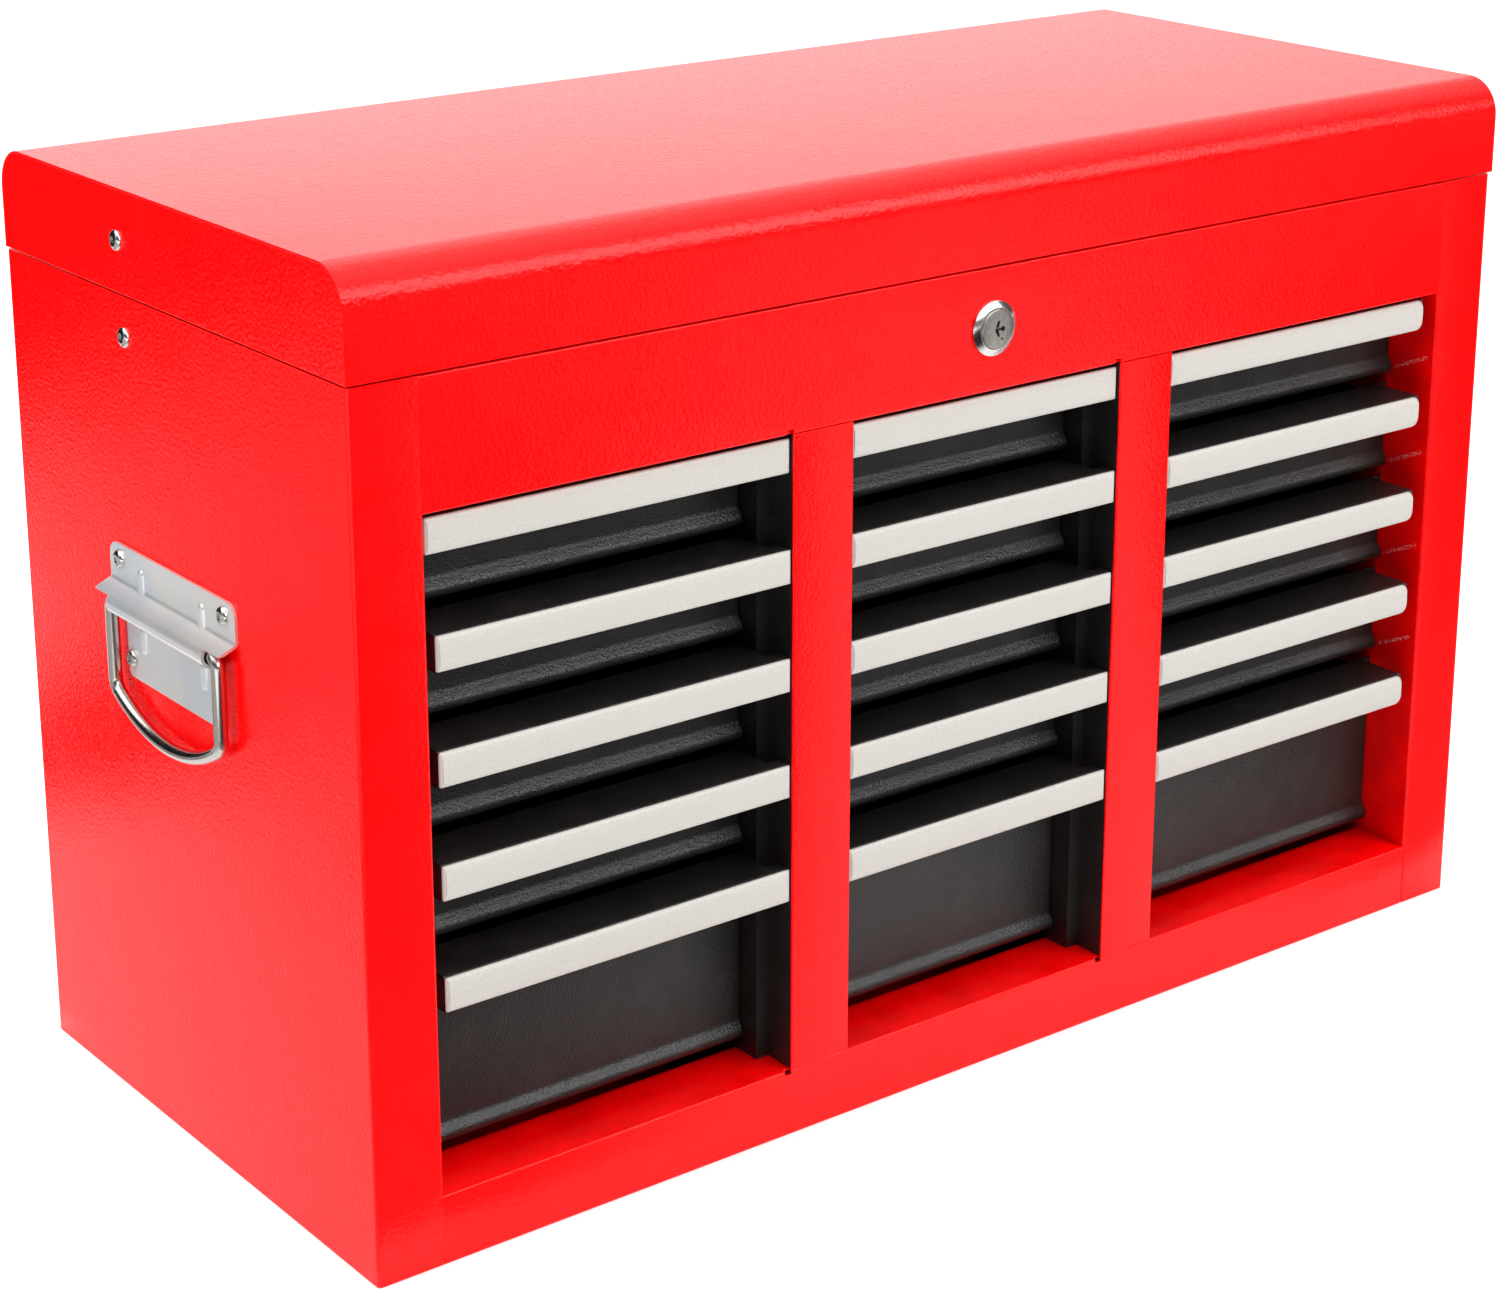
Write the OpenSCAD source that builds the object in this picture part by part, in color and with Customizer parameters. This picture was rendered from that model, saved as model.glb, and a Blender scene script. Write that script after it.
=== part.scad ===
// Portable tool chest with three columns of five drawers, a till and a hinged lid.
// Millimetres. +Z is up, the drawer fronts face -Y, the base stands on Z = 0.
// Depths are counted from the front plane of the case towards its back.

/* [Case] */
// width over the two side panels
case_w = 600; // [580:5:640]
// depth from the front plane to the back panel
case_d = 270; // [266:2:290]
// height from the floor to the lid seam
case_h = 353; // [353:1:365]
// thickness of the steel sheet
sheet = 1; // [0.8:0.1:1]
// width of the upright at each end of the front
stile_w = 30; // [28:1:34]
// height of the rail above the drawers
top_rail_h = 51; // [51:1:60]
// height of the rail below the drawers
bottom_rail_h = 29; // [24:1:29]
// width of the red strip over each partition
divider_w = 30; // [26:1:32]
// clear width between the two divider strips
mid_open_w = 144; // [130:2:160]
// outside width of the box-shaped partition behind a strip
partition_w = 42; // [38:1:44]
// depth at which a partition starts
partition_in = 16; // [16:0.5:18]
// width of the dark line where two front panels meet
seam = 0.3; // [0.2:0.1:0.5]

/* [Lid] */
// height of the lid above its seam
lid_h = 42; // [38:1:50]
// radius of the rolled front and rear edges
lid_roll_r = 16.5; // [12:0.5:20]
// how far the lid stands out past the case
lid_over = 0.8; // [0.6:0.1:1]
// open gap at the seam
lid_gap = 1; // [0.8:0.1:1.2]
// angle at which the stays stop the lid
lid_open = 90; // [80:1:95]

/* [Drawers] */
// open gap between the rail and the highest pull
row_clear = 2.6; // [2:0.1:4]
// height from one pull to the next
row_pitch = 45.3; // [44.5:0.1:45.5]
// height of a pull
pull_h = 14.6; // [12:0.2:16]
// depth of a pull from front to back
pull_d = 6.4; // [5:0.2:6.6]
// depth at which the lower pulls start
pull_in = 2; // [1.8:0.1:3.2]
// how much further in the top row stands
top_row_in = 1; // [0:0.5:5]
// depth of the drawer front behind the case front
front_in = 27; // [25:0.5:28]
// radius of the rolled bead along the foot of a drawer front
bead_r = 3.2; // [2.4:0.1:3.4]
// open gap between a bead and the pull below it
bead_gap = 4.4; // [4:0.1:5]
// length of a drawer tray behind its front
tray_l = 220; // [180:5:230]
// height of a trim strip
trim_h = 14; // [11:0.2:14.4]
// thickness of a trim strip between its bevels
trim_t = 1.6; // [1.2:0.1:2]

/* [Fittings] */
// radius of the lock plug
plug_r = 8.2; // [7:0.1:8.4]
// depth of the lock axis below the lid seam
lock_drop = 25.3; // [23:0.1:27]
// width of a handle plate
plate_w = 102.5; // [98:0.5:110]
// width between the legs of a handle bail
bail_w = 88; // [80:1:90]
// radius of the bail rod
rod_r = 2.8; // [2.4:0.1:3]
// depth of the bail axis below the lid seam
bail_drop = 126.5; // [110:0.5:150]

/* [Hidden] */
$fn = 72;

red = [0.80, 0.05, 0.06];
black = [0.09, 0.09, 0.10];
pale = [0.87, 0.85, 0.82];
zinc = [0.72, 0.74, 0.76];
chrome = [0.85, 0.86, 0.88];

// slack that keeps a boolean cut clear of a face
cut = 1;
front = -case_d / 2;
half_w = case_w / 2;
open_half = half_w - stile_w;
open_top = case_h - top_rail_h;
floor_z = open_top + sheet;
row_top = open_top - row_clear;
lock_z = case_h - lock_drop;
bail_z = case_h - bail_drop;
divider_x = (mid_open_w + divider_w) / 2;
wall_half = partition_w / 2;

// inner faces of the walls that bound each column, left to right
col_from = [-open_half, -divider_x + wall_half, divider_x + wall_half];
col_to = [-divider_x - wall_half, divider_x - wall_half, open_half];
// ends of the pulls in each column
pull_end_gap = 7;
pull_mid_gap = 0.4;
pull_from = [-open_half + pull_end_gap, -mid_open_w / 2 + pull_mid_gap,
             mid_open_w / 2 + divider_w + pull_mid_gap];
pull_to = [-mid_open_w / 2 - divider_w - pull_mid_gap, mid_open_w / 2 - pull_mid_gap,
           open_half - pull_end_gap];
// the highest pull of the left column reaches closer to its stile
top_left_reach = 5.8;

// sheet returns of the case
return_d = 30;
ledge_d = 31;
hem_d = 9;
strip_lip_t = 1;
notch_w = 3.2;
notch_h = 2;

// drawers and runners
rows = 5;
front_slack = 0.8;
tray_slack = 2;
tray_drop = 6;
bottom_lift = 1.4;
runner_t = 1;
runner_w = 5;
runner_h = 7;
runner_gap = 0.4;
runner_start = 32;
pull_wall = 1.2;
pull_round = 2.4;
trim_edge_t = 0.9;
trim_bevel = 2;
trim_corner_r = 3.5;
last_gap = 6;

// lock
flange_r = 11.5;
flange_bevel = 1.4;
flange_t = 2.2;
barrel_r = 9.6;
barrel_l = 18;
barrel_hole_r = 9.65;
turn_gap = 0.3;
plug_out = 3.4;
neck_r = 4;
neck_hole_r = 4.05;
cam_t = 2;
cam_w = 12;
cam_l = 24;
screw_r = 6.5;
nut_r = 15.5;
nut_t = 3.5;
key_w = 1.8;
key_h = 9;
key_deep = 8;

// handles
plate_t = 1.2;
plate_depth_mid = 138.7;
plate_rise = 22.5;
plate_corner_r = 6;
tongue_w = 79;
tongue_fall = 32;
tongue_corner_r = 3;
rod_off = 5.4;
channel_r = 4.7;
channel_bore_r = 3.3;
ridge_h = 6.9;
ridge_out = 7.2;
ridge_z = 4.3;
notch_half = 4.2;
leg_drop = 33;
bail_bow_r = 78;
corner_r = 7;
rivet_r = 2;
rivet_hole_r = 2.05;
rivet_head_r = 3.9;
rivet_head_t = 2.1;
rivet_tail_t = 1;
plate_rivet_x = 42.5;
tongue_rivet_x = 35.5;
plate_rivet_rise = 16.2;
tongue_rivet_fall = 24;
emboss_x = 25;
emboss_r = 3;
emboss_sink = 1.6;
emboss_rise = [[5, 14], [-17, -10]];

// lid and hinge
lid_bottom = case_h + lid_gap;
lid_top = lid_bottom + lid_h;
lid_end_in = 0.3;
lid_end_t = 1;
hinge_r = 2.8;
hinge_pin_r = 1.5;
hinge_z = case_h + lid_gap / 2;
hinge_depth = case_d + lid_over + hinge_r;
hinge_tight = 0.02;
hinge_leaf_t = 1;
hinge_leaf_h = 18;
knuckles = 9;
knuckle_l = 60;
knuckle_gap = 0.6;
knuckle_clear = 3.4;

// lid stays
stay_w = 14;
stay_t = 1.5;
stay_gap = 0.4;
stay_case_back = 101.6;
stay_case_drop = 16.5;
stay_lid_back = 100.4;
stay_lid_rise = 21;
stay_pin_r = 2.2;
stay_hole_r = 2.5;
stay_head_r = 4.2;
stay_head_t = 2;
stay_tail_r = 3.6;
stay_tail_t = 1.2;
stay_slack = 1.01;
knee_r = 4;
knee_t = 1.4;
knee_low = 0.2;

function top_of(row) = row_top - (row - 1) * row_pitch;
function foot_of(row) = row < rows ? top_of(row + 1) + bead_gap : bottom_rail_h + last_gap;
function pull_start(row) = pull_in + (row == 1 ? top_row_in : 0);
function pull_a(c, row) = pull_from[c] - (c == 0 && row == 1 ? top_left_reach : 0);

// pivots, knee and length of the stay, in depth and height
stay_case = [case_d - stay_case_back, case_h - stay_case_drop];
stay_lid = [case_d - stay_lid_back, lid_bottom + stay_lid_rise];
hinge_at = [hinge_depth, hinge_z];
lid_arm = stay_lid - hinge_at;
lid_arm_open = [lid_arm[0] * cos(lid_open) + lid_arm[1] * sin(lid_open),
                -lid_arm[0] * sin(lid_open) + lid_arm[1] * cos(lid_open)];
stay_l = norm(hinge_at + lid_arm_open - stay_case) / 2 * stay_slack;
stay_span = stay_lid - stay_case;
stay_rise = norm(stay_span);
stay_fold = sqrt(stay_l * stay_l - stay_rise * stay_rise / 4);
stay_knee = (stay_lid + stay_case) / 2 + [stay_span[1], -stay_span[0]] / stay_rise * stay_fold;

// box from two opposite corners, given in x, depth and z
module block(a, b) {
    translate([a[0], front + a[1], a[2]])
        cube([b[0] - a[0], b[1] - a[1], b[2] - a[2]]);
}

// round bar along Y from depth a to depth b
module bar_y(x, z, r, a, b) {
    translate([x, front + b, z])
        rotate([90, 0, 0])
            cylinder(r = r, h = b - a);
}

// round bar along X from x a to x b
module bar_x(depth, z, r, a, b) {
    translate([a, front + depth, z])
        rotate([0, 90, 0])
            cylinder(r = r, h = b - a);
}

// outline drawn in depth and z, stretched along X from a to b
module stretch_x(a, b) {
    translate([a, front, 0])
        rotate([90, 0, 90])
            linear_extrude(height = b - a)
                children();
}

// rivet along X, its dome facing -X at x = face
module rivet(face, depth, z, r, head_r, head_t, grip, tail_r, tail_t) {
    dome_r = (head_r * head_r + head_t * head_t) / (2 * head_t);
    bar_x(depth, z, r, face, face + grip);
    bar_x(depth, z, tail_r, face + grip, face + grip + tail_t);
    intersection() {
        translate([face + dome_r - head_t, front + depth, z])
            sphere(r = dome_r);
        bar_x(depth, z, head_r + cut, face - head_t - cut, face);
    }
}

// ---- case ----

module side_panel() {
    difference() {
        union() {
            block([-half_w, 0, 0], [-half_w + sheet, case_d, case_h]);
            block([-half_w, 0, 0], [-open_half, sheet, case_h]);
            block([-open_half - sheet, 0, sheet], [-open_half, case_d - sheet, floor_z]);
        }
        for (s = [-1, 1]) {
            bar_x(plate_depth_mid + s * plate_rivet_x, bail_z + plate_rivet_rise, rivet_hole_r,
                  -half_w - cut, -half_w + sheet + cut);
            bar_x(plate_depth_mid + s * tongue_rivet_x, bail_z - tongue_rivet_fall, rivet_hole_r,
                  -half_w - cut, -half_w + sheet + cut);
        }
        bar_x(stay_case[0], stay_case[1], stay_pin_r + hinge_tight,
              -half_w - cut, -half_w + sheet + cut);
    }
}

module left_side() {
    color(red) side_panel();
}

module right_side() {
    color(red) mirror([1, 0, 0]) side_panel();
}

module back_panel() {
    color(red)
        block([-half_w + sheet, case_d - sheet, 0], [half_w - sheet, case_d, case_h]);
}

module base_pan() {
    color(red)
        block([-half_w + sheet, sheet, 0], [half_w - sheet, case_d - sheet, sheet]);
}

// small relief beside the left edge of each divider strip
module strip_notches(z0, z1) {
    for (x = [-divider_x, divider_x])
        block([x - divider_w / 2 - notch_w, -cut, z0], [x - divider_w / 2, sheet + cut, z1]);
}

module top_rail() {
    color(red)
    difference() {
        union() {
            block([-open_half + seam, 0, open_top], [open_half - seam, sheet, case_h]);
            block([-open_half, sheet, open_top], [open_half, return_d, floor_z]);
            block([-open_half + seam, sheet, case_h - sheet], [open_half - seam, hem_d, case_h]);
        }
        bar_y(0, lock_z, barrel_hole_r, -cut, sheet + cut);
        strip_notches(open_top - cut, open_top + notch_h);
    }
}

module bottom_rail() {
    color(red)
    difference() {
        union() {
            block([-open_half + seam, 0, 0], [open_half - seam, sheet, bottom_rail_h]);
            block([-open_half, sheet, bottom_rail_h - sheet], [open_half, ledge_d, bottom_rail_h]);
            block([-open_half, ledge_d - sheet, sheet], [open_half, ledge_d, bottom_rail_h]);
        }
        strip_notches(bottom_rail_h - notch_h, bottom_rail_h + cut);
    }
}

module divider_strips() {
    color(red)
    for (x = [-divider_x, divider_x])
        block([x - divider_w / 2, 0, bottom_rail_h + seam],
              [x + divider_w / 2, sheet, open_top - seam]);
}

module partition_outline() {
    polygon([[partition_in, bottom_rail_h], [ledge_d, bottom_rail_h], [ledge_d, sheet],
             [case_d - sheet, sheet], [case_d - sheet, floor_z], [return_d, floor_z],
             [return_d, open_top], [partition_in, open_top]]);
}

// black boxes between the columns; two lips of each carry its red strip
module partitions() {
    color(black)
    for (x = [-divider_x, divider_x]) {
        difference() {
            stretch_x(x - wall_half, x + wall_half) partition_outline();
            block([x - wall_half + sheet, partition_in + sheet, -cut],
                  [x + wall_half - sheet, case_d + cut, case_h]);
        }
        for (lip = [x - divider_w / 2, x + divider_w / 2 - strip_lip_t])
            block([lip, sheet, bottom_rail_h + seam],
                  [lip + strip_lip_t, partition_in, open_top - seam]);
    }
}

module till_floor() {
    color(red)
        block([-half_w + sheet, sheet, floor_z],
              [half_w - sheet, case_d - sheet, floor_z + sheet]);
}

module runner_rails() {
    color(zinc)
    for (c = [0 : 2])
        for (r = [1 : rows]) {
            base = foot_of(r) + bottom_lift - runner_gap - runner_t;
            end = front_in + sheet + tray_l;
            block([col_from[c], runner_start, base], [col_from[c] + runner_t, end, base + runner_h]);
            block([col_from[c], runner_start, base], [col_from[c] + runner_w, end, base + runner_t]);
            block([col_to[c] - runner_t, runner_start, base], [col_to[c], end, base + runner_h]);
            block([col_to[c] - runner_w, runner_start, base], [col_to[c], end, base + runner_t]);
        }
}

// ---- lock ----

module lock_body() {
    color(chrome)
    difference() {
        union() {
            bar_y(0, lock_z, barrel_r, -flange_t, barrel_l);
            translate([0, front, lock_z])
                rotate([90, 0, 0])
                    cylinder(r1 = flange_r, r2 = flange_r - flange_bevel, h = flange_t);
        }
        bar_y(0, lock_z, plug_r + turn_gap, -flange_t - cut, barrel_l + cut);
    }
}

module lock_nut() {
    color(zinc)
    difference() {
        translate([0, front + sheet + nut_t, lock_z])
            rotate([90, 0, 0])
                cylinder(r = nut_r, h = nut_t, $fn = 6);
        bar_y(0, lock_z, barrel_hole_r, 0, sheet + nut_t + cut);
    }
}

module lock_plug() {
    cam_start = barrel_l + runner_gap;
    color(chrome)
    difference() {
        union() {
            bar_y(0, lock_z, plug_r, -plug_out, cam_start);
            bar_y(0, lock_z, neck_r, cam_start, cam_start + cam_t);
            bar_y(0, lock_z, screw_r, cam_start + cam_t, cam_start + 2 * cam_t);
        }
        block([-key_w / 2, -plug_out - cut, lock_z - key_h / 2],
              [key_w / 2, -plug_out + key_deep, lock_z + key_h / 2]);
    }
}

module lock_cam() {
    cam_start = barrel_l + runner_gap;
    color(zinc)
    difference() {
        union() {
            bar_y(0, lock_z, cam_w / 2, cam_start, cam_start + cam_t);
            bar_y(-cam_l + cam_w / 2, lock_z, cam_w / 2, cam_start, cam_start + cam_t);
            block([-cam_l + cam_w / 2, cam_start, lock_z - cam_w / 2],
                  [0, cam_start + cam_t, lock_z + cam_w / 2]);
        }
        bar_y(0, lock_z, neck_hole_r, cam_start - cut, cam_start + cam_t + cut);
    }
}

// ---- side handles ----

// handle outlines: first axis runs outwards from the side panel, second is height
module channel_shell() {
    polygon([[0, ridge_h], [plate_t, ridge_h], [ridge_out, ridge_z], [rod_off, 0],
             [rod_off, -channel_r], [0, -channel_r]]);
    translate([rod_off, 0])
        circle(r = channel_r);
}

module channel_bore() {
    translate([rod_off, 0])
        circle(r = channel_bore_r);
    translate([plate_t, -channel_bore_r])
        square([rod_off - plate_t, 2 * channel_bore_r]);
}

// outline drawn outwards and up, stretched along Y about the handle middle
module stretch_y(half) {
    translate([-half_w, front + plate_depth_mid + half, bail_z])
        rotate([90, 0, 0])
            linear_extrude(height = 2 * half)
                mirror([1, 0])
                    children();
}

// flat plate with two rounded corners at its far edge
module ear_plate(half, z0, z1, r, up) {
    zc = up ? z1 - r : z0 + r;
    for (s = [-1, 1])
        bar_x(plate_depth_mid + s * (half - r), zc, r, -half_w - plate_t, -half_w);
    block([-half_w - plate_t, plate_depth_mid - half + r, z0],
          [-half_w, plate_depth_mid + half - r, z1]);
    block([-half_w - plate_t, plate_depth_mid - half, up ? z0 : zc],
          [-half_w, plate_depth_mid + half, up ? zc : z1]);
}

module handle_plate() {
    difference() {
        union() {
            ear_plate(plate_w / 2, bail_z - channel_r, bail_z + plate_rise, plate_corner_r, true);
            ear_plate(tongue_w / 2, bail_z - tongue_fall, bail_z, tongue_corner_r, false);
            difference() {
                stretch_y(plate_w / 2) channel_shell();
                stretch_y(plate_w / 2 + cut) channel_bore();
                for (side = [[-plate_w / 2 - cut, notch_half - bail_w / 2],
                             [bail_w / 2 - notch_half, plate_w / 2 + cut]])
                    block([-half_w - 2 * rod_off - channel_r, plate_depth_mid + side[0],
                           bail_z - 2 * channel_r],
                          [-half_w - plate_t, plate_depth_mid + side[1], bail_z + channel_bore_r]);
            }
            for (s = [-1, 1])
                for (e = emboss_rise)
                    translate([-half_w + emboss_sink - plate_t,
                               front + plate_depth_mid + s * emboss_x, bail_z]) {
                        translate([0, 0, e[0]])
                            cylinder(r = emboss_r, h = e[1] - e[0]);
                        for (z = e)
                            translate([0, 0, z])
                                sphere(r = emboss_r);
                    }
        }
        block([-half_w, 0, 0], [-half_w + 2 * emboss_r, case_d, case_h]);
        stretch_y(plate_w / 2 + cut) channel_bore();
        for (s = [-1, 1]) {
            bar_x(plate_depth_mid + s * plate_rivet_x, bail_z + plate_rivet_rise, rivet_hole_r,
                  -half_w - plate_t - cut, -half_w + cut);
            bar_x(plate_depth_mid + s * tongue_rivet_x, bail_z - tongue_rivet_fall, rivet_hole_r,
                  -half_w - plate_t - cut, -half_w + cut);
        }
    }
}

module handle_plates() {
    color(zinc)
    for (m = [0, 1])
        mirror([m, 0, 0]) handle_plate();
}

// half-angle of the shallow bow, and the height its ends start from
bow_half = asin((bail_w / 2 - corner_r) / (bail_bow_r - corner_r));
leg_foot = bail_z - leg_drop;
bow_mid_z = leg_foot + (bail_bow_r - corner_r) * cos(bow_half);

// the rod's section at the radius of a bend
module rod_section(r) {
    translate([r, 0])
        rotate([0, 0, 90])
            circle(r = rod_r);
}

module bail() {
    x = -half_w - rod_off;
    mid = front + plate_depth_mid;
    for (s = [-1, 1])
        translate([x, mid + s * bail_w / 2, leg_foot])
            cylinder(r = rod_r, h = leg_drop);
    for (s = [-1, 1])
        translate([x, mid + s * bail_w / 2, bail_z])
            sphere(r = rod_r);
    bar_x_bail(x, mid);
    translate([x, mid, bow_mid_z])
        rotate([90, 0, 90])
            rotate([0, 0, -90 - bow_half])
                rotate_extrude(angle = 2 * bow_half)
                    rod_section(bail_bow_r);
    for (s = [0, 1])
        translate([x, mid, 0])
            mirror([0, s, 0]) {
                translate([0, bail_w / 2 - corner_r, leg_foot])
                    rotate([90, 0, 90])
                        rotate([0, 0, bow_half - 90])
                            rotate_extrude(angle = 90 - bow_half)
                                rod_section(corner_r);
            }
}

// straight bar of the bail inside its channel
module bar_x_bail(x, mid) {
    translate([x, mid + bail_w / 2, bail_z])
        rotate([90, 0, 0])
            cylinder(r = rod_r, h = bail_w);
}

module bail_left() {
    color(chrome) bail();
}

module bail_right() {
    color(chrome) mirror([1, 0, 0]) bail();
}

module handle_rivets() {
    color(chrome)
    for (m = [0, 1])
        mirror([m, 0, 0])
            for (s = [-1, 1]) {
                rivet(-half_w - plate_t, plate_depth_mid + s * plate_rivet_x, bail_z + plate_rivet_rise,
                      rivet_r, rivet_head_r, rivet_head_t, plate_t + sheet, rivet_head_r, rivet_tail_t);
                rivet(-half_w - plate_t, plate_depth_mid + s * tongue_rivet_x, bail_z - tongue_rivet_fall,
                      rivet_r, rivet_head_r, rivet_head_t, plate_t + sheet, rivet_head_r, rivet_tail_t);
            }
}

// ---- lid ----

// solid lid outline pulled in by t on the rolled sides
module lid_outline(t) {
    a = -lid_over + t;
    b = case_d + lid_over - t;
    r = lid_roll_r - t;
    for (d = [a + r, b - r])
        translate([d, lid_top - lid_roll_r])
            circle(r = r);
    translate([a, lid_bottom])
        square([b - a, lid_h - lid_roll_r]);
    translate([a + r, lid_bottom])
        square([b - a - 2 * r, lid_h - t]);
}

module lid_sheet() {
    color(red)
    difference() {
        stretch_x(-half_w - lid_over, half_w + lid_over) lid_outline(0);
        stretch_x(-half_w - lid_over - cut, half_w + lid_over + cut) lid_outline(sheet);
        block([-half_w - lid_over - cut, lid_over, lid_bottom - cut],
              [half_w + lid_over + cut, case_d - lid_over, lid_bottom + cut]);
    }
}

module lid_ends() {
    color(red)
    for (m = [0, 1])
        mirror([m, 0, 0])
            difference() {
                stretch_x(-half_w - lid_over + lid_end_in, -half_w - lid_over + lid_end_in + lid_end_t)
                    lid_outline(sheet);
                bar_x(stay_lid[0], stay_lid[1], stay_pin_r + hinge_tight, -half_w - lid_h, -half_w + lid_h);
            }
}

// knuckle tubes of one leaf, which takes every second place along the pin
module knuckle_tubes(parity, hole_r) {
    for (k = [0 : knuckles - 1])
        if (k % 2 == parity) {
            a = (k - knuckles / 2) * knuckle_l + knuckle_gap / 2;
            difference() {
                bar_x(hinge_depth, hinge_z, hinge_r, a, a + knuckle_l - knuckle_gap);
                bar_x(hinge_depth, hinge_z, hole_r, a - cut, a + knuckle_l + cut);
            }
        }
}

// gaps left in one leaf for the knuckles of the other
module knuckle_gaps(parity, z0, z1) {
    for (k = [0 : knuckles - 1])
        if (k % 2 != parity) {
            a = (k - knuckles / 2) * knuckle_l - knuckle_gap / 2;
            block([a, case_d - cut, z0], [a + knuckle_l + knuckle_gap, hinge_depth + hinge_r, z1]);
        }
}

module hinge_leaf_case() {
    half = knuckles * knuckle_l / 2;
    color(zinc) {
        knuckle_tubes(0, hinge_pin_r + hinge_tight);
        difference() {
            block([-half, case_d, hinge_z - hinge_leaf_h],
                  [half, case_d + hinge_leaf_t + lid_over / 2, hinge_z]);
            knuckle_gaps(0, hinge_z - knuckle_clear, hinge_z + cut);
            bar_x(hinge_depth, hinge_z, hinge_pin_r + hinge_tight, -half_w, half_w);
        }
    }
}

module hinge_leaf_lid() {
    half = knuckles * knuckle_l / 2;
    color(zinc) {
        knuckle_tubes(1, hinge_pin_r + turn_gap);
        difference() {
            block([-half, case_d + lid_over, hinge_z],
                  [half, case_d + lid_over + hinge_leaf_t, hinge_z + hinge_leaf_h]);
            knuckle_gaps(1, hinge_z - cut, hinge_z + knuckle_clear);
            bar_x(hinge_depth, hinge_z, hinge_pin_r + turn_gap, -half_w, half_w);
        }
    }
}

module hinge_pin() {
    half = knuckles * knuckle_l / 2;
    color(zinc)
        bar_x(hinge_depth, hinge_z, hinge_pin_r, -half, half);
}

// ---- lid stays ----

// flat link from a to b, given in depth and z, drilled at a; the knee rivet
// stands out at b by the two given amounts, outwards and inwards
module link(x, a, b, rivet_out, rivet_in) {
    dir = b - a;
    translate([x, front + a[0], a[1]])
        rotate([atan2(dir[1], dir[0]), 0, 0])
            rotate([90, 0, 90])
                difference() {
                    union() {
                        linear_extrude(height = stay_t) {
                            translate([0, -stay_w / 2])
                                square([norm(dir), stay_w]);
                            for (y = [0, norm(dir)])
                                translate([y, 0])
                                    circle(d = stay_w);
                        }
                        translate([norm(dir), 0, -rivet_out])
                            cylinder(r = knee_r, h = rivet_out + stay_t + rivet_in);
                    }
                    translate([0, 0, -cut])
                        cylinder(r = stay_hole_r, h = stay_t + 2 * cut);
                }
}

lower_x = -half_w + sheet + stay_gap;
upper_x = lower_x + stay_t + stay_gap;

module stay_lower() {
    link(lower_x, stay_case, stay_knee, knee_low, 0);
}

module stay_upper() {
    link(upper_x, stay_lid, stay_knee, 0, knee_t);
}

module stay_lower_left() {
    color(zinc) stay_lower();
}

module stay_lower_right() {
    color(zinc) mirror([1, 0, 0]) stay_lower();
}

module stay_upper_left() {
    color(zinc) stay_upper();
}

module stay_upper_right() {
    color(zinc) mirror([1, 0, 0]) stay_upper();
}

module stay_rivets_case() {
    grip = lower_x + stay_t + stay_gap + half_w;
    color(chrome)
    for (m = [0, 1])
        mirror([m, 0, 0])
            rivet(-half_w, stay_case[0], stay_case[1], stay_pin_r,
                  stay_head_r, stay_head_t, grip, stay_tail_r, stay_tail_t);
}

module stay_rivets_lid() {
    face = -half_w - lid_over + lid_end_in;
    grip = upper_x + stay_t + stay_gap - face;
    color(chrome)
    for (m = [0, 1])
        mirror([m, 0, 0])
            rivet(face, stay_lid[0], stay_lid[1], stay_pin_r,
                  stay_head_r, stay_head_t, grip, stay_tail_r, stay_tail_t);
}

// ---- drawers ----

// hollow pull, open towards the drawer front
module pull(c, r) {
    s = pull_start(r);
    top = top_of(r);
    difference() {
        stretch_x(pull_a(c, r), pull_to[c]) {
            translate([s + pull_round, top - pull_h])
                square([pull_d - pull_round, pull_h]);
            translate([s, top - pull_h + pull_round])
                square([pull_d, pull_h - 2 * pull_round]);
            for (z = [top - pull_round, top - pull_h + pull_round])
                translate([s + pull_round, z])
                    circle(r = pull_round);
        }
        block([pull_a(c, r) + pull_wall, s + pull_wall, top - pull_h + pull_wall],
              [pull_to[c] - pull_wall, s + pull_d + cut, top - pull_wall]);
    }
}

module drawer(c, r) {
    s = pull_start(r);
    top = top_of(r);
    foot = foot_of(r);
    a = col_from[c] + front_slack;
    b = col_to[c] - front_slack;
    ta = col_from[c] + tray_slack;
    tb = col_to[c] - tray_slack;
    bottom = foot + bottom_lift;
    end = front_in + sheet + tray_l;
    color(black) {
        difference() {
            union() {
                block([a, front_in, foot + bead_r], [b, front_in + sheet, top]);
                bar_x(front_in + sheet / 2, foot + bead_r, bead_r, a, b);
            }
            bar_x(front_in + sheet / 2, foot + bead_r, bead_r - sheet, a - cut, b + cut);
        }
        block([max(a, pull_a(c, r)), s + pull_d - pull_wall, top - sheet],
              [min(b, pull_to[c]), front_in + sheet, top]);
        pull(c, r);
        difference() {
            block([ta, front_in, bottom], [tb, end, top - tray_drop]);
            block([ta + sheet, front_in - cut, bottom + sheet], [tb - sheet, end - sheet, top + cut]);
            bar_x(front_in + sheet / 2, foot + bead_r, bead_r - sheet, a - cut, b + cut);
        }
    }
}

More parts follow.
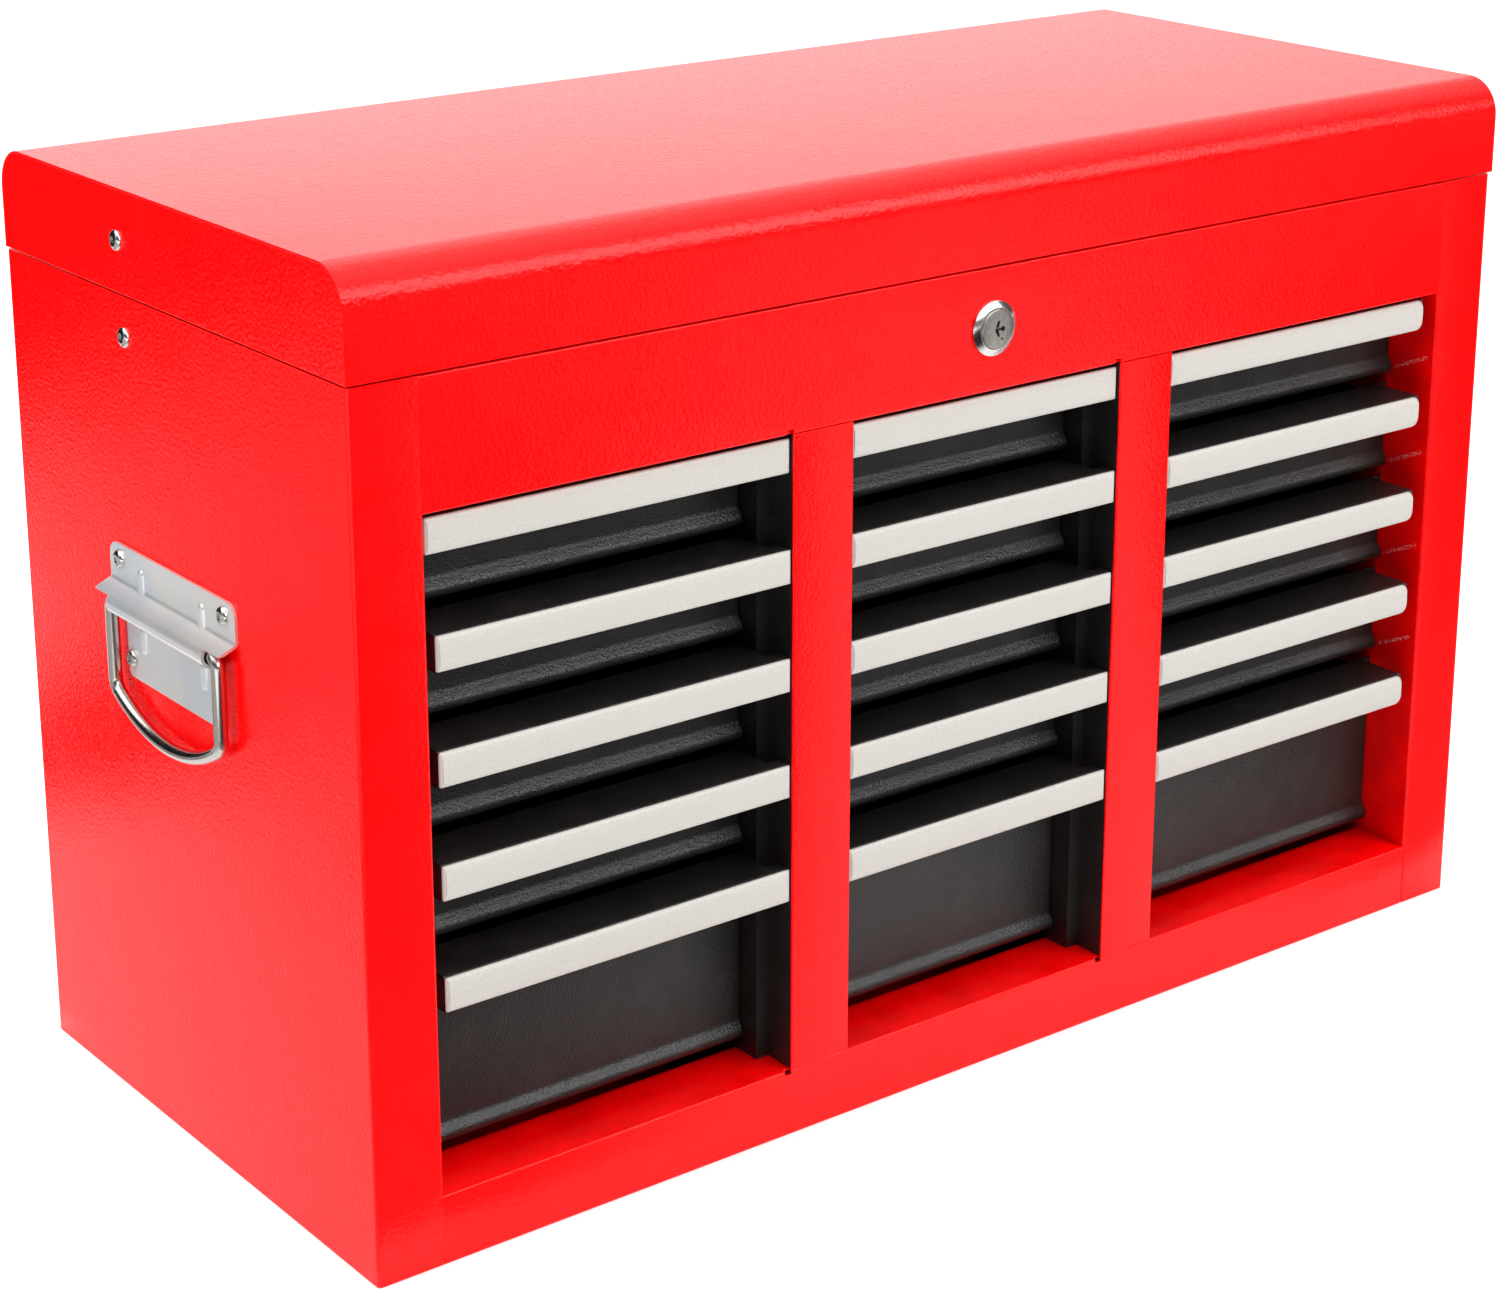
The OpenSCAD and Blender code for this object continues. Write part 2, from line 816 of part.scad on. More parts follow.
// thin pale strip with bevelled long edges and rounded corners
module trim(c, r) {
    s = pull_start(r);
    mid = top_of(r) - pull_h / 2;
    a = pull_a(c, r);
    b = pull_to[c];
    k = trim_corner_r;
    color(pale)
    intersection() {
        stretch_x(a - cut, b + cut)
            polygon([[s, mid - trim_h / 2], [s, mid + trim_h / 2],
                     [s - trim_edge_t, mid + trim_h / 2], [s - trim_t, mid + trim_h / 2 - trim_bevel],
                     [s - trim_t, mid - trim_h / 2 + trim_bevel], [s - trim_edge_t, mid - trim_h / 2]]);
        translate([0, front + s, mid])
            rotate([90, 0, 0])
                linear_extrude(height = 2 * trim_t) {
                    translate([a + k, -trim_h / 2])
                        square([b - a - 2 * k, trim_h]);
                    translate([a, -trim_h / 2 + k])
                        square([b - a, trim_h - 2 * k]);
                    for (x = [a + k, b - k])
                        for (z = [-trim_h / 2 + k, trim_h / 2 - k])
                            translate([x, z])
                                circle(r = k);
                }
    }
}

left_side();
right_side();
back_panel();
base_pan();
top_rail();
bottom_rail();
divider_strips();
partitions();
till_floor();
runner_rails();
lock_body();
lock_nut();
lock_plug();
lock_cam();
handle_plates();
bail_left();
bail_right();
handle_rivets();
lid_sheet();
lid_ends();
hinge_leaf_case();
hinge_leaf_lid();
hinge_pin();
stay_lower_left();
stay_lower_right();
stay_upper_left();
stay_upper_right();
stay_rivets_case();
stay_rivets_lid();
drawer(0, 1);  // drawer_left_1
drawer(0, 2);  // drawer_left_2
drawer(0, 3);  // drawer_left_3
drawer(0, 4);  // drawer_left_4
drawer(0, 5);  // drawer_left_5
drawer(1, 1);  // drawer_mid_1
drawer(1, 2);  // drawer_mid_2
drawer(1, 3);  // drawer_mid_3
drawer(1, 4);  // drawer_mid_4
drawer(1, 5);  // drawer_mid_5
drawer(2, 1);  // drawer_right_1
drawer(2, 2);  // drawer_right_2
drawer(2, 3);  // drawer_right_3
drawer(2, 4);  // drawer_right_4
drawer(2, 5);  // drawer_right_5
trim(0, 1);  // trim_left_1
trim(0, 2);  // trim_left_2
trim(0, 3);  // trim_left_3
trim(0, 4);  // trim_left_4
trim(0, 5);  // trim_left_5
trim(1, 1);  // trim_mid_1
trim(1, 2);  // trim_mid_2
trim(1, 3);  // trim_mid_3
trim(1, 4);  // trim_mid_4
trim(1, 5);  // trim_mid_5
trim(2, 1);  // trim_right_1
trim(2, 2);  // trim_right_2
trim(2, 3);  // trim_right_3
trim(2, 4);  // trim_right_4
trim(2, 5);  // trim_right_5
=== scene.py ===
import math

import bmesh
import bpy
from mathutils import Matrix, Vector


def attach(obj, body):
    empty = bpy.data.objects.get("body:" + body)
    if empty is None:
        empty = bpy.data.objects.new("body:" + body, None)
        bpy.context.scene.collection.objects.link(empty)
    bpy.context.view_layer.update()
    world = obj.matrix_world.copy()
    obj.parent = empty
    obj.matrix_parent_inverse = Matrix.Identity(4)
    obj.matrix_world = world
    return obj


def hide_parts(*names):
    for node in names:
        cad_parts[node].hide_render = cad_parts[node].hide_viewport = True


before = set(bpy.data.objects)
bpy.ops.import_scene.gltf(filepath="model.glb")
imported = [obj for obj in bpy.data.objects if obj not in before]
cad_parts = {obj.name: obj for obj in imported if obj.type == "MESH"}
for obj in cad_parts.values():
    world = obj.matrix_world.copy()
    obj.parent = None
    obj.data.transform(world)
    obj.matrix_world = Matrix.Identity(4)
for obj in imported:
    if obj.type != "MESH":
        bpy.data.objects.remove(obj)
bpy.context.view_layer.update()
print("frame loaded:", len(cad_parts), "nodes")

mm = 0.001

# sizes that several pieces share, in millimetres; depth runs back from the front face
chest = {
    "halfWidth": 300.0,
    "depth": 270.0,
    "height": 353.0,
    "front": -135.0,
    "openHalf": 270.0,
    "openTop": 301.2,
    "sheet": 1.0,
}


class Wire:
    # one output of a material's nodes, so that sums can be written as plain expressions
    def __init__(self, paint, socket):
        self.paint = paint
        self.socket = socket

    def math(self, operation, first, second):
        return self.paint.add("ShaderNodeMath", {"operation": operation}, {0: first, 1: second})

    def __add__(self, other):
        return self.math("ADD", self, other)

    def __radd__(self, other):
        return self.math("ADD", other, self)

    def __sub__(self, other):
        return self.math("SUBTRACT", self, other)

    def __rsub__(self, other):
        return self.math("SUBTRACT", other, self)

    def __mul__(self, other):
        return self.math("MULTIPLY", self, other)

    def __rmul__(self, other):
        return self.math("MULTIPLY", other, self)

    def __truediv__(self, other):
        return self.math("DIVIDE", self, other)

    def __rtruediv__(self, other):
        return self.math("DIVIDE", other, self)


class Paint:
    # the nodes of a material or world; add() makes any node, its settings first and then its sockets
    def __init__(self, owner, space="Object"):
        owner.use_nodes = True
        self.owner = owner
        self.nodes = owner.node_tree.nodes
        self.links = owner.node_tree.links
        self.nodes.clear()
        self.place = self.add("ShaderNodeTexCoord", {}, {}, space)

    def add(self, kind, settings, sockets, output=0):
        node = self.nodes.new(kind)
        for key, value in settings.items():
            setattr(node, key, value)
        for key, value in sockets.items():
            if isinstance(value, Wire):
                self.links.new(value.socket, node.inputs[key])
            else:
                node.inputs[key].default_value = value
        return Wire(self, node.outputs[output]) if node.outputs else node

    def noise(self, scale, detail=2.0, roughness=0.5, vector=None):
        return self.add("ShaderNodeTexNoise", {}, {
            "Vector": vector or self.place, "Scale": scale, "Detail": detail, "Roughness": roughness})

    def ramp(self, factor, low, high, start=0.0, end=1.0):
        return self.add("ShaderNodeMapRange", {"interpolation_type": "SMOOTHSTEP"}, {
            "Value": factor, "From Min": low, "From Max": high, "To Min": start, "To Max": end})

    def mix(self, factor, first, second):
        return self.add("ShaderNodeMix", {"data_type": "RGBA"}, {0: factor, 6: first, 7: second}, 2)

    def stretch(self, scale):
        return self.add("ShaderNodeVectorMath", {"operation": "MULTIPLY"}, {0: self.place, 1: scale})

    def split(self, vector, axis):
        return self.add("ShaderNodeSeparateXYZ", {}, {0: vector}, axis)

    def bump(self, height, distance, strength, normal=None):
        sockets = {"Strength": strength, "Distance": distance, "Height": height}
        if normal:
            sockets["Normal"] = normal
        return self.add("ShaderNodeBump", {}, sockets)

    def finish(self, **sockets):
        named = {key.replace("_", " "): value for key, value in sockets.items()}
        shader = self.add("ShaderNodeBsdfPrincipled", {}, named)
        self.add("ShaderNodeOutputMaterial", {}, {"Surface": shader})
        return self.owner


def newPaint(name):
    return Paint(bpy.data.materials.new(name))


def rgb(red, green, blue):
    return (red, green, blue, 1.0)


redLook = {
    "base": rgb(0.90, 0.0010, 0.0014),
    "deep": rgb(0.76, 0.0006, 0.0010),
    "cloud": 55.0,
    "cloudEdge": (0.35, 0.7),
    "grain": 620.0,
    "grainDepth": 0.00034,
    "waver": 0.2,
    "roughness": 0.11,
    "vary": 0.06,
    "ior": 1.3,
}
# places in metres, as the shader sees them
scuffLook = {
    "colour": rgb(0.80, 0.42, 0.40),
    "wall": 0.27,
    "wallSlack": 0.0004,
    "start": (-0.1315, -0.1295),
    "end": (-0.115, -0.1095),
    "lowest": (0.12, 0.125),
    "first": 0.2655,
    "pitch": 0.0453,
    "slope": 0.45,
    "middle": 0.12,
    "thin": (0.008, 0.03),
    "grit": (900.0, 500.0, 1500.0),
    "gritEdge": (0.47, 0.62),
    "strength": 0.75,
    "roughness": 0.3,
}


def orangePeel(paint, look):
    # fine pebbles of sprayed enamel over a slow waver of the sheet
    pebbles = paint.noise(look["grain"], 2.5, 0.55)
    slow = paint.bump(paint.noise(26.0, 1.0, 0.4), 0.0012, look["waver"])
    return pebbles, paint.bump(pebbles, look["grainDepth"], 0.8, slow)


def scuffs(paint):
    # pale rub marks that the drawers leave on the inner side walls, one short dash for each row
    x, y, z = [paint.split(paint.place, axis) for axis in range(3)]
    wall = scuffLook["wall"]
    side = paint.add("ShaderNodeMath", {"operation": "COMPARE"}, {
        0: x * x, 1: wall * wall, 2: scuffLook["wallSlack"]})
    span = paint.ramp(y, *scuffLook["start"]) * (1 - paint.ramp(y, *scuffLook["end"]))
    lean = scuffLook["slope"] * (y + scuffLook["middle"])
    rise = (z - scuffLook["first"] + lean) / scuffLook["pitch"]
    phase = paint.add("ShaderNodeMath", {"operation": "FRACT"}, {0: rise + 0.5})
    away = paint.add("ShaderNodeMath", {"operation": "ABSOLUTE"}, {0: phase - 0.5})
    line = 1 - paint.ramp(away, *scuffLook["thin"])
    upper = paint.ramp(z, *scuffLook["lowest"])
    speckle = paint.noise(1.0, 3.0, 0.7, paint.stretch(scuffLook["grit"]))
    grit = paint.ramp(speckle, *scuffLook["gritEdge"])
    return side * span * line * upper * grit * scuffLook["strength"]


def redEnamel():
    paint = newPaint("redEnamel")
    pebbles, normal = orangePeel(paint, redLook)
    cloud = paint.ramp(paint.noise(redLook["cloud"], 3.0), *redLook["cloudEdge"])
    colour = paint.mix(cloud, redLook["base"], redLook["deep"])
    marks = scuffs(paint)
    colour = paint.mix(marks, colour, scuffLook["colour"])
    rough = redLook["roughness"] + redLook["vary"] * (pebbles - 0.5) + scuffLook["roughness"] * marks
    return paint.finish(Base_Color=colour, Roughness=rough, Normal=normal, IOR=redLook["ior"])


blackLook = {
    "base": rgb(0.0105, 0.0088, 0.0083),
    "worn": rgb(0.017, 0.0143, 0.0135),
    "cloud": 70.0,
    "cloudEdge": (0.4, 0.75),
    "grain": 1100.0,
    "grainDepth": 0.0005,
    "waver": 0.1,
    "roughness": 0.315,
    "vary": 0.07,
    "ior": 1.5,
}


def blackEnamel():
    paint = newPaint("blackEnamel")
    pebbles, normal = orangePeel(paint, blackLook)
    cloud = paint.ramp(paint.noise(blackLook["cloud"], 3.0), *blackLook["cloudEdge"])
    colour = paint.mix(cloud, blackLook["base"], blackLook["worn"])
    rough = blackLook["roughness"] + blackLook["vary"] * (pebbles - 0.5)
    return paint.finish(Base_Color=colour, Roughness=rough, Normal=normal, IOR=blackLook["ior"])


stripLook = {
    "base": rgb(0.50, 0.48, 0.445),
    "shade": rgb(0.45, 0.43, 0.40),
    "lines": (60.0, 2600.0, 2600.0),
    "lineShare": 0.25,
    "grain": 1100.0,
    "depth": 0.00012,
    "roughness": 0.42,
    "vary": 0.12,
    "ior": 1.46,
}


def paleStrip():
    # satin plastic strip with fine drawn lines along its length and small pebbles
    paint = newPaint("paleStrip")
    lines = paint.noise(1.0, 2.0, 0.6, paint.stretch(stripLook["lines"]))
    pebbles = paint.noise(stripLook["grain"], 2.0)
    height = stripLook["lineShare"] * lines + (1 - stripLook["lineShare"]) * pebbles
    colour = paint.mix(paint.ramp(height, 0.35, 0.68), stripLook["shade"], stripLook["base"])
    rough = stripLook["roughness"] + stripLook["vary"] * (pebbles - 0.5)
    return paint.finish(Base_Color=colour, Roughness=rough,
                        Normal=paint.bump(height, stripLook["depth"], 0.5), IOR=stripLook["ior"])


zincLook = {
    "base": rgb(0.74, 0.735, 0.725),
    "blue": rgb(0.66, 0.695, 0.73),
    "warm": rgb(0.78, 0.74, 0.66),
    "roughness": 0.33,
}
leafLook = {
    "base": rgb(0.40, 0.395, 0.385),
    "blue": rgb(0.35, 0.37, 0.39),
    "warm": rgb(0.43, 0.405, 0.36),
    "roughness": 0.36,
}


def zincPlate(name, look):
    # zinc plating: faint blue and straw clouds, fine rolling lines
    paint = newPaint(name)
    cloud = paint.noise(38.0, 3.0, 0.6)
    tint = paint.noise(21.0, 2.0, 0.5)
    colour = paint.mix(paint.ramp(tint, 0.42, 0.62), look["blue"], look["base"])
    colour = paint.mix(paint.ramp(cloud, 0.55, 0.8, 0.0, 0.7), colour, look["warm"])
    lines = paint.noise(1.0, 2.0, 0.6, paint.stretch((600.0, 45.0, 600.0)))
    rough = look["roughness"] + 0.1 * (cloud - 0.5)
    return paint.finish(Base_Color=colour, Metallic=0.7, Roughness=rough,
                        Normal=paint.bump(lines, 0.00003, 0.25))


brightLook = {
    "base": rgb(0.74, 0.73, 0.71),
    "dull": rgb(0.60, 0.58, 0.55),
    "roughness": 0.195,
}
rodLook = {
    "base": rgb(0.60, 0.575, 0.535),
    "dull": rgb(0.54, 0.515, 0.47),
    "roughness": 0.205,
}


def brightPlate(name, look):
    # bright nickel plating, slightly pitted and rubbed
    paint = newPaint(name)
    rub = paint.noise(160.0, 4.0, 0.65)
    colour = paint.mix(paint.ramp(rub, 0.5, 0.75), look["base"], look["dull"])
    rough = look["roughness"] + 0.065 * paint.ramp(rub, 0.48, 0.8)
    return paint.finish(Base_Color=colour, Metallic=1.0, Roughness=rough,
                        Normal=paint.bump(paint.noise(900.0, 2.0), 0.00003, 0.4))


nickelLook = {
    "base": rgb(0.38, 0.36, 0.33),
    "rubbed": rgb(0.48, 0.455, 0.42),
    "roughness": 0.36,
}


def satinNickel():
    # faced nickel of the lock plug, finely speckled
    paint = newPaint("satinNickel")
    speck = paint.noise(520.0, 3.0, 0.6)
    colour = paint.mix(paint.ramp(speck, 0.35, 0.7), nickelLook["base"], nickelLook["rubbed"])
    rough = nickelLook["roughness"] + 0.16 * (speck - 0.5)
    return paint.finish(Base_Color=colour, Metallic=1.0, Roughness=rough,
                        Normal=paint.bump(speck, 0.00006, 0.5))


finishes = {
    "red": redEnamel(),
    "black": blackEnamel(),
    "pale": paleStrip(),
    "zinc": zincPlate("zincPlate", zincLook),
    "leaf": zincPlate("zincLeaf", leafLook),
    "bright": brightPlate("brightPlate", brightLook),
    "rod": brightPlate("rodPlate", rodLook),
    "nickel": satinNickel(),
}
print("finishes made:", len(finishes))


def at(x, depth, z):
    # a place in millimetres, its depth counted from the front face
    return Vector((x * mm, (chest["front"] + depth) * mm, z * mm))


def alongX(u, v, w):
    # outline drawn in depth and z, stretched along x
    return at(w, u, v)


def alongZ(u, v, w):
    # outline drawn in x and depth, stretched along z
    return at(u, v, w)


def arcPoints(centre, radius, start, end, steps):
    points = []
    for i in range(steps + 1):
        a = math.radians(start + (end - start) * i / steps)
        points.append((centre[0] + radius * math.cos(a), centre[1] + radius * math.sin(a)))
    return points


def roundPath(points, radii, steps=6):
    # replaces each inner corner of an open path with an arc of its own radius
    path = [points[0]]
    for i in range(1, len(points) - 1):
        corner = Vector(points[i])
        back = Vector(points[i - 1]) - corner
        ahead = Vector(points[i + 1]) - corner
        radius = radii[i - 1] if isinstance(radii, (list, tuple)) else radii
        half = back.angle(ahead) / 2
        reach = radius / math.tan(half)
        centre = corner + (back.normalized() + ahead.normalized()).normalized() * radius / math.sin(half)
        first = corner + back.normalized() * reach - centre
        last = corner + ahead.normalized() * reach - centre
        turn = first.angle_signed(last)
        for k in range(steps + 1):
            a = -turn * k / steps
            path.append((centre.x + first.x * math.cos(a) - first.y * math.sin(a),
                         centre.y + first.x * math.sin(a) + first.y * math.cos(a)))
    path.append(points[-1])
    return path


def offsetPath(path, distance):
    # the same path, moved sideways by distance (to its left if positive)
    moved = []
    for i, point in enumerate(path):
        here = Vector(point)
        before = (here - Vector(path[i - 1])).normalized() if i else None
        after = (Vector(path[i + 1]) - here).normalized() if i < len(path) - 1 else None
        before = before or after
        after = after or before
        left = Vector((-before.y - after.y, before.x + after.x)).normalized()
        grow = max(0.5, left.dot(Vector((-before.y, before.x))))
        moved.append(tuple(here + left * distance / grow))
    return moved


def foldedSheet(path, thick, place, start, end):
    # sheet metal bent along a path; path is its outer face and the metal lies to the left of it
    mesh = bmesh.new()
    inner = offsetPath(path, thick)
    rows = []
    for w in (start, end):
        rows.append([[mesh.verts.new(place(p[0], p[1], w)) for p in line] for line in (path, inner)])
    (outA, inA), (outB, inB) = rows
    last = len(path) - 1
    for i in range(last):
        mesh.faces.new((outA[i], outA[i + 1], outB[i + 1], outB[i]))
        mesh.faces.new((inA[i + 1], inA[i], inB[i], inB[i + 1]))
        mesh.faces.new((inA[i], inA[i + 1], outA[i + 1], outA[i]))
        mesh.faces.new((outB[i], outB[i + 1], inB[i + 1], inB[i]))
    mesh.faces.new((outA[0], outB[0], inB[0], inA[0]))
    mesh.faces.new((outA[last], inA[last], inB[last], outB[last]))
    bmesh.ops.recalc_face_normals(mesh, faces=mesh.faces[:])
    return mesh


def prism(outline, place, start, end):
    # closed outline stretched between two ends
    mesh = bmesh.new()
    ends = [[mesh.verts.new(place(p[0], p[1], w)) for p in outline] for w in (start, end)]
    count = len(outline)
    for i in range(count):
        k = (i + 1) % count
        mesh.faces.new((ends[0][i], ends[0][k], ends[1][k], ends[1][i]))
    mesh.faces.new(ends[0][::-1])
    mesh.faces.new(ends[1])
    bmesh.ops.recalc_face_normals(mesh, faces=mesh.faces[:])
    return mesh


def turned(profile, origin, axis, segments=40):
    # lathe work: profile is (radius, reach) along the axis from origin
    mesh = bmesh.new()
    axis = Vector(axis).normalized()
    side = axis.orthogonal().normalized()
    other = axis.cross(side)
    rings = []
    for radius, reach in profile:
        middle = origin + axis * reach * mm
        if radius == 0:
            rings.append([mesh.verts.new(middle)])
            continue
        ring = []
        for i in range(segments):
            a = 2 * math.pi * i / segments
            out = (side * math.cos(a) + other * math.sin(a)) * radius * mm
            ring.append(mesh.verts.new(middle + out))
        rings.append(ring)
    for one, two in zip(rings, rings[1:]):
        for i in range(segments):
            k = (i + 1) % segments
            corners = [one[i % len(one)], one[k % len(one)], two[k % len(two)], two[i % len(two)]]
            corners = list(dict.fromkeys(corners))
            if len(corners) > 2:
                mesh.faces.new(corners)
    bmesh.ops.recalc_face_normals(mesh, faces=mesh.faces[:])
    return mesh


def box(low, high):
    # plain box between two corners, each given as x, depth and z
    mesh = bmesh.new()
    low, high = at(*low), at(*high)
    bmesh.ops.create_cube(mesh, size=1.0)
    for v in mesh.verts:
        v.co = Vector([low[i] if v.co[i] < 0 else high[i] for i in range(3)])
    return mesh


def joined(meshes):
    # several loose parts in one mesh
    whole = bmesh.new()
    for part in meshes:
        data = bpy.data.meshes.new("part")
        part.to_mesh(data)
        part.free()
        whole.from_mesh(data)
        bpy.data.meshes.remove(data)
    return whole


def mirrored(mesh):
    # the same part for the other side
    copy = mesh.copy()
    bmesh.ops.scale(copy, vec=(-1, 1, 1), verts=copy.verts[:])
    bmesh.ops.reverse_faces(copy, faces=copy.faces[:])
    return copy


def cutAway(mesh, cutters):
    # the mesh less each closed cutter
    data = bpy.data.meshes.new("body")
    mesh.to_mesh(data)
    mesh.free()
    whole = bpy.data.objects.new("body", data)
    bpy.context.collection.objects.link(whole)
    tools = []
    for cutter in cutters:
        toolData = bpy.data.meshes.new("tool")
        cutter.to_mesh(toolData)
        cutter.free()
        tool = bpy.data.objects.new("tool", toolData)
        bpy.context.collection.objects.link(tool)
        tools.append(tool)
        modifier = whole.modifiers.new("cut", "BOOLEAN")
        modifier.operation = "DIFFERENCE"
        modifier.solver = "EXACT"
        modifier.object = tool
    result = bmesh.new()
    result.from_object(whole, bpy.context.evaluated_depsgraph_get())
    for extra in [whole] + tools:
        data = extra.data
        bpy.data.objects.remove(extra)
        bpy.data.meshes.remove(data)
    return result


def addPiece(name, mesh, body, finish, stands, edge=0.25, sharp=32.0):
    # a finished piece: soft edges, its finish, its body and the nodes that it stands for
    data = bpy.data.meshes.new(name)
    mesh.to_mesh(data)
    mesh.free()
    data.polygons.foreach_set("use_smooth", [True] * len(data.polygons))
    data.set_sharp_from_angle(angle=math.radians(sharp))
    piece = bpy.data.objects.new(name, data)
    bpy.context.collection.objects.link(piece)
    data.materials.append(finishes[finish])
    if edge:
        bevel = piece.modifiers.new("softEdges", "BEVEL")
        bevel.width = edge * mm
        bevel.segments = 2
        bevel.limit_method = "ANGLE"
        bevel.angle_limit = math.radians(sharp)
        bevel.harden_normals = True
        bevel.use_clamp_overlap = True
    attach(piece, body)
    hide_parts(*stands)


def keepNode(node, finish):
    # a CAD node whose shape is right keeps it and gets the detailed finish
    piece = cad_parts[node]
    piece.data.materials.clear()
    piece.data.materials.append(finishes[finish])


sideLook = {
    "fold": 1.8,
    "wallDepth": 269.0,
    "wallFold": 1.5,
    "wallTop": 303.0,
    "cutIn": 1.02,
}


def sideShell(name, node, mirror):
    # side, front stile and inner wall are one folded sheet
    half = chest["halfWidth"]
    edge = chest["openHalf"]
    corners = [(-half, chest["depth"]), (-half, 0.0), (-edge, 0.0), (-edge, sideLook["wallDepth"])]
    path = roundPath(corners, [sideLook["fold"], sideLook["wallFold"]])
    mesh = foldedSheet(path, chest["sheet"], alongZ, 0.0, chest["height"])
    # the inner wall stands between the base pan and the till floor; the cutters reach past it
    spans = ((sideLook["wallTop"], 400.0), (-5.0, chest["sheet"]))
    mesh = cutAway(mesh, [box((-edge - 1.6, sideLook["cutIn"], low), (-edge + 1.0, 280.0, high))
                          for low, high in spans])
    if mirror:
        mesh = mirrored(mesh)
    addPiece(name, mesh, "case", "red", [node])


sideShell("sideShellLeft", "left_side", False)
sideShell("sideShellRight", "right_side", True)

railLook = {
    "lap": 0.9,
    "lapRight": -0.4,
    "seam": 0.05,
    "fold": 1.1,
    "returnDepth": 30.0,
    "hemDepth": 9.0,
    "notchWidth": 3.2,
    "notchHeight": 2.0,
    "bottomHeight": 29.0,
    "ledgeDepth": 31.0,
    "lockHole": 9.2,
    "lockHeight": 327.7,
    "stripX": 87.0,
    "stripWidth": 30.0,
    "stripThick": 1.0,
    "stripFold": 0.7,
}


def notches(low, high):
    # a small relief at the left foot and head of each divider strip
    cutters = []
    for x in (-railLook["stripX"], railLook["stripX"]):
        edge = x - railLook["stripWidth"] / 2
        cutters.append(box((edge - railLook["notchWidth"], -1.0, low), (edge, 1.9, high)))
    return cutters


def topRail():
    # rail under the lid, bent back at its foot and over at its top, with the lock's hole
    left = -chest["openHalf"] - railLook["lap"]
    right = chest["openHalf"] + railLook["lapRight"]
    low = chest["openTop"]
    path = roundPath([(railLook["returnDepth"], low), (0.0, low), (0.0, chest["height"]),
                      (railLook["hemDepth"], chest["height"])], railLook["fold"])
    mesh = foldedSheet(path, -chest["sheet"], alongX, left, right)
    r = railLook["lockHole"]
    hole = turned([(0, -5), (r, -5), (r, 5), (0, 5)], at(0, 0, railLook["lockHeight"]), (0, 1, 0), 48)
    mesh = cutAway(mesh, notches(low - 1.0, low + railLook["notchHeight"]) + [hole])
    addPiece("topRail", mesh, "case", "red", ["top_rail"])


def bottomRail():
    # rail under the drawers, bent back into the ledge that they stand over
    left = -chest["openHalf"] - railLook["lap"]
    right = chest["openHalf"] + railLook["lapRight"]
    top = railLook["bottomHeight"]
    back = railLook["ledgeDepth"]
    path = roundPath([(0.0, 0.0), (0.0, top), (back, top), (back, 1.0)], railLook["fold"])
    mesh = foldedSheet(path, -chest["sheet"], alongX, left, right)
    mesh = cutAway(mesh, notches(top - railLook["notchHeight"], top + 1.0))
    addPiece("bottomRail", mesh, "case", "red", ["bottom_rail"])


def dividerStrips():
    # flat strips in front of the black boxes, their long edges rolled a little
    meshes = []
    low = railLook["bottomHeight"] + railLook["seam"]
    high = chest["openTop"] - railLook["seam"]
    back = railLook["stripThick"]
    for x in (-railLook["stripX"], railLook["stripX"]):
        a = x - railLook["stripWidth"] / 2
        b = x + railLook["stripWidth"] / 2
        outline = roundPath([(a, back), (a, 0.0), (b, 0.0), (b, back)], railLook["stripFold"])
        meshes.append(prism(outline, alongZ, low, high))
    addPiece("dividerStrips", joined(meshes), "case", "red", ["divider_strips"], 0.2)


topRail()
bottomRail()
dividerStrips()
keepNode("back_panel", "red")
keepNode("base_pan", "red")
keepNode("till_floor", "red")
keepNode("partitions", "black")
keepNode("runner_rails", "zinc")
print("case dressed")


lidLook = {
    "over": 0.8,
    "bottom": 353.8,
    "top": 396.0,
    "roll": 16.5,
    "rollSteps": 14,
    "endInset": 0.3,
    "endThick": 1.0,
}


def lidPath(inset):
    # the lid's outline in depth and z: front lip, two rolled edges, rear lip
    front = -lidLook["over"] + inset
    back = chest["depth"] + lidLook["over"] - inset
    roll = lidLook["roll"] - inset
    centreZ = lidLook["top"] - lidLook["roll"]
    path = [(front, lidLook["bottom"])]
    path += arcPoints((front + roll, centreZ), roll, 180, 90, lidLook["rollSteps"])
    path += arcPoints((back - roll, centreZ), roll, 90, 0, lidLook["rollSteps"])
    path.append((back, lidLook["bottom"]))
    return path


def lidSkin():
    half = chest["halfWidth"] + lidLook["over"]
    mesh = foldedSheet(lidPath(0.0), -chest["sheet"], alongX, -half, half)
    addPiece("lidSkin", mesh, "lid", "red", ["lid_sheet"])


def lidEnds():
    outer = chest["halfWidth"] + lidLook["over"] - lidLook["endInset"]
    inner = outer - lidLook["endThick"]
    meshes = [prism(lidPath(chest["sheet"]), alongX, side * inner, side * outer) for side in (-1, 1)]
    addPiece("lidEnds", joined(meshes), "lid", "red", ["lid_ends"], 0.3)


lidSkin()
lidEnds()
keepNode("hinge_leaf_case", "leaf")
keepNode("hinge_leaf_lid", "leaf")
keepNode("hinge_pin", "bright")
for stay in ("stay_lower_left", "stay_lower_right", "stay_upper_left", "stay_upper_right"):
    keepNode(stay, "zinc")
print("lid dressed")


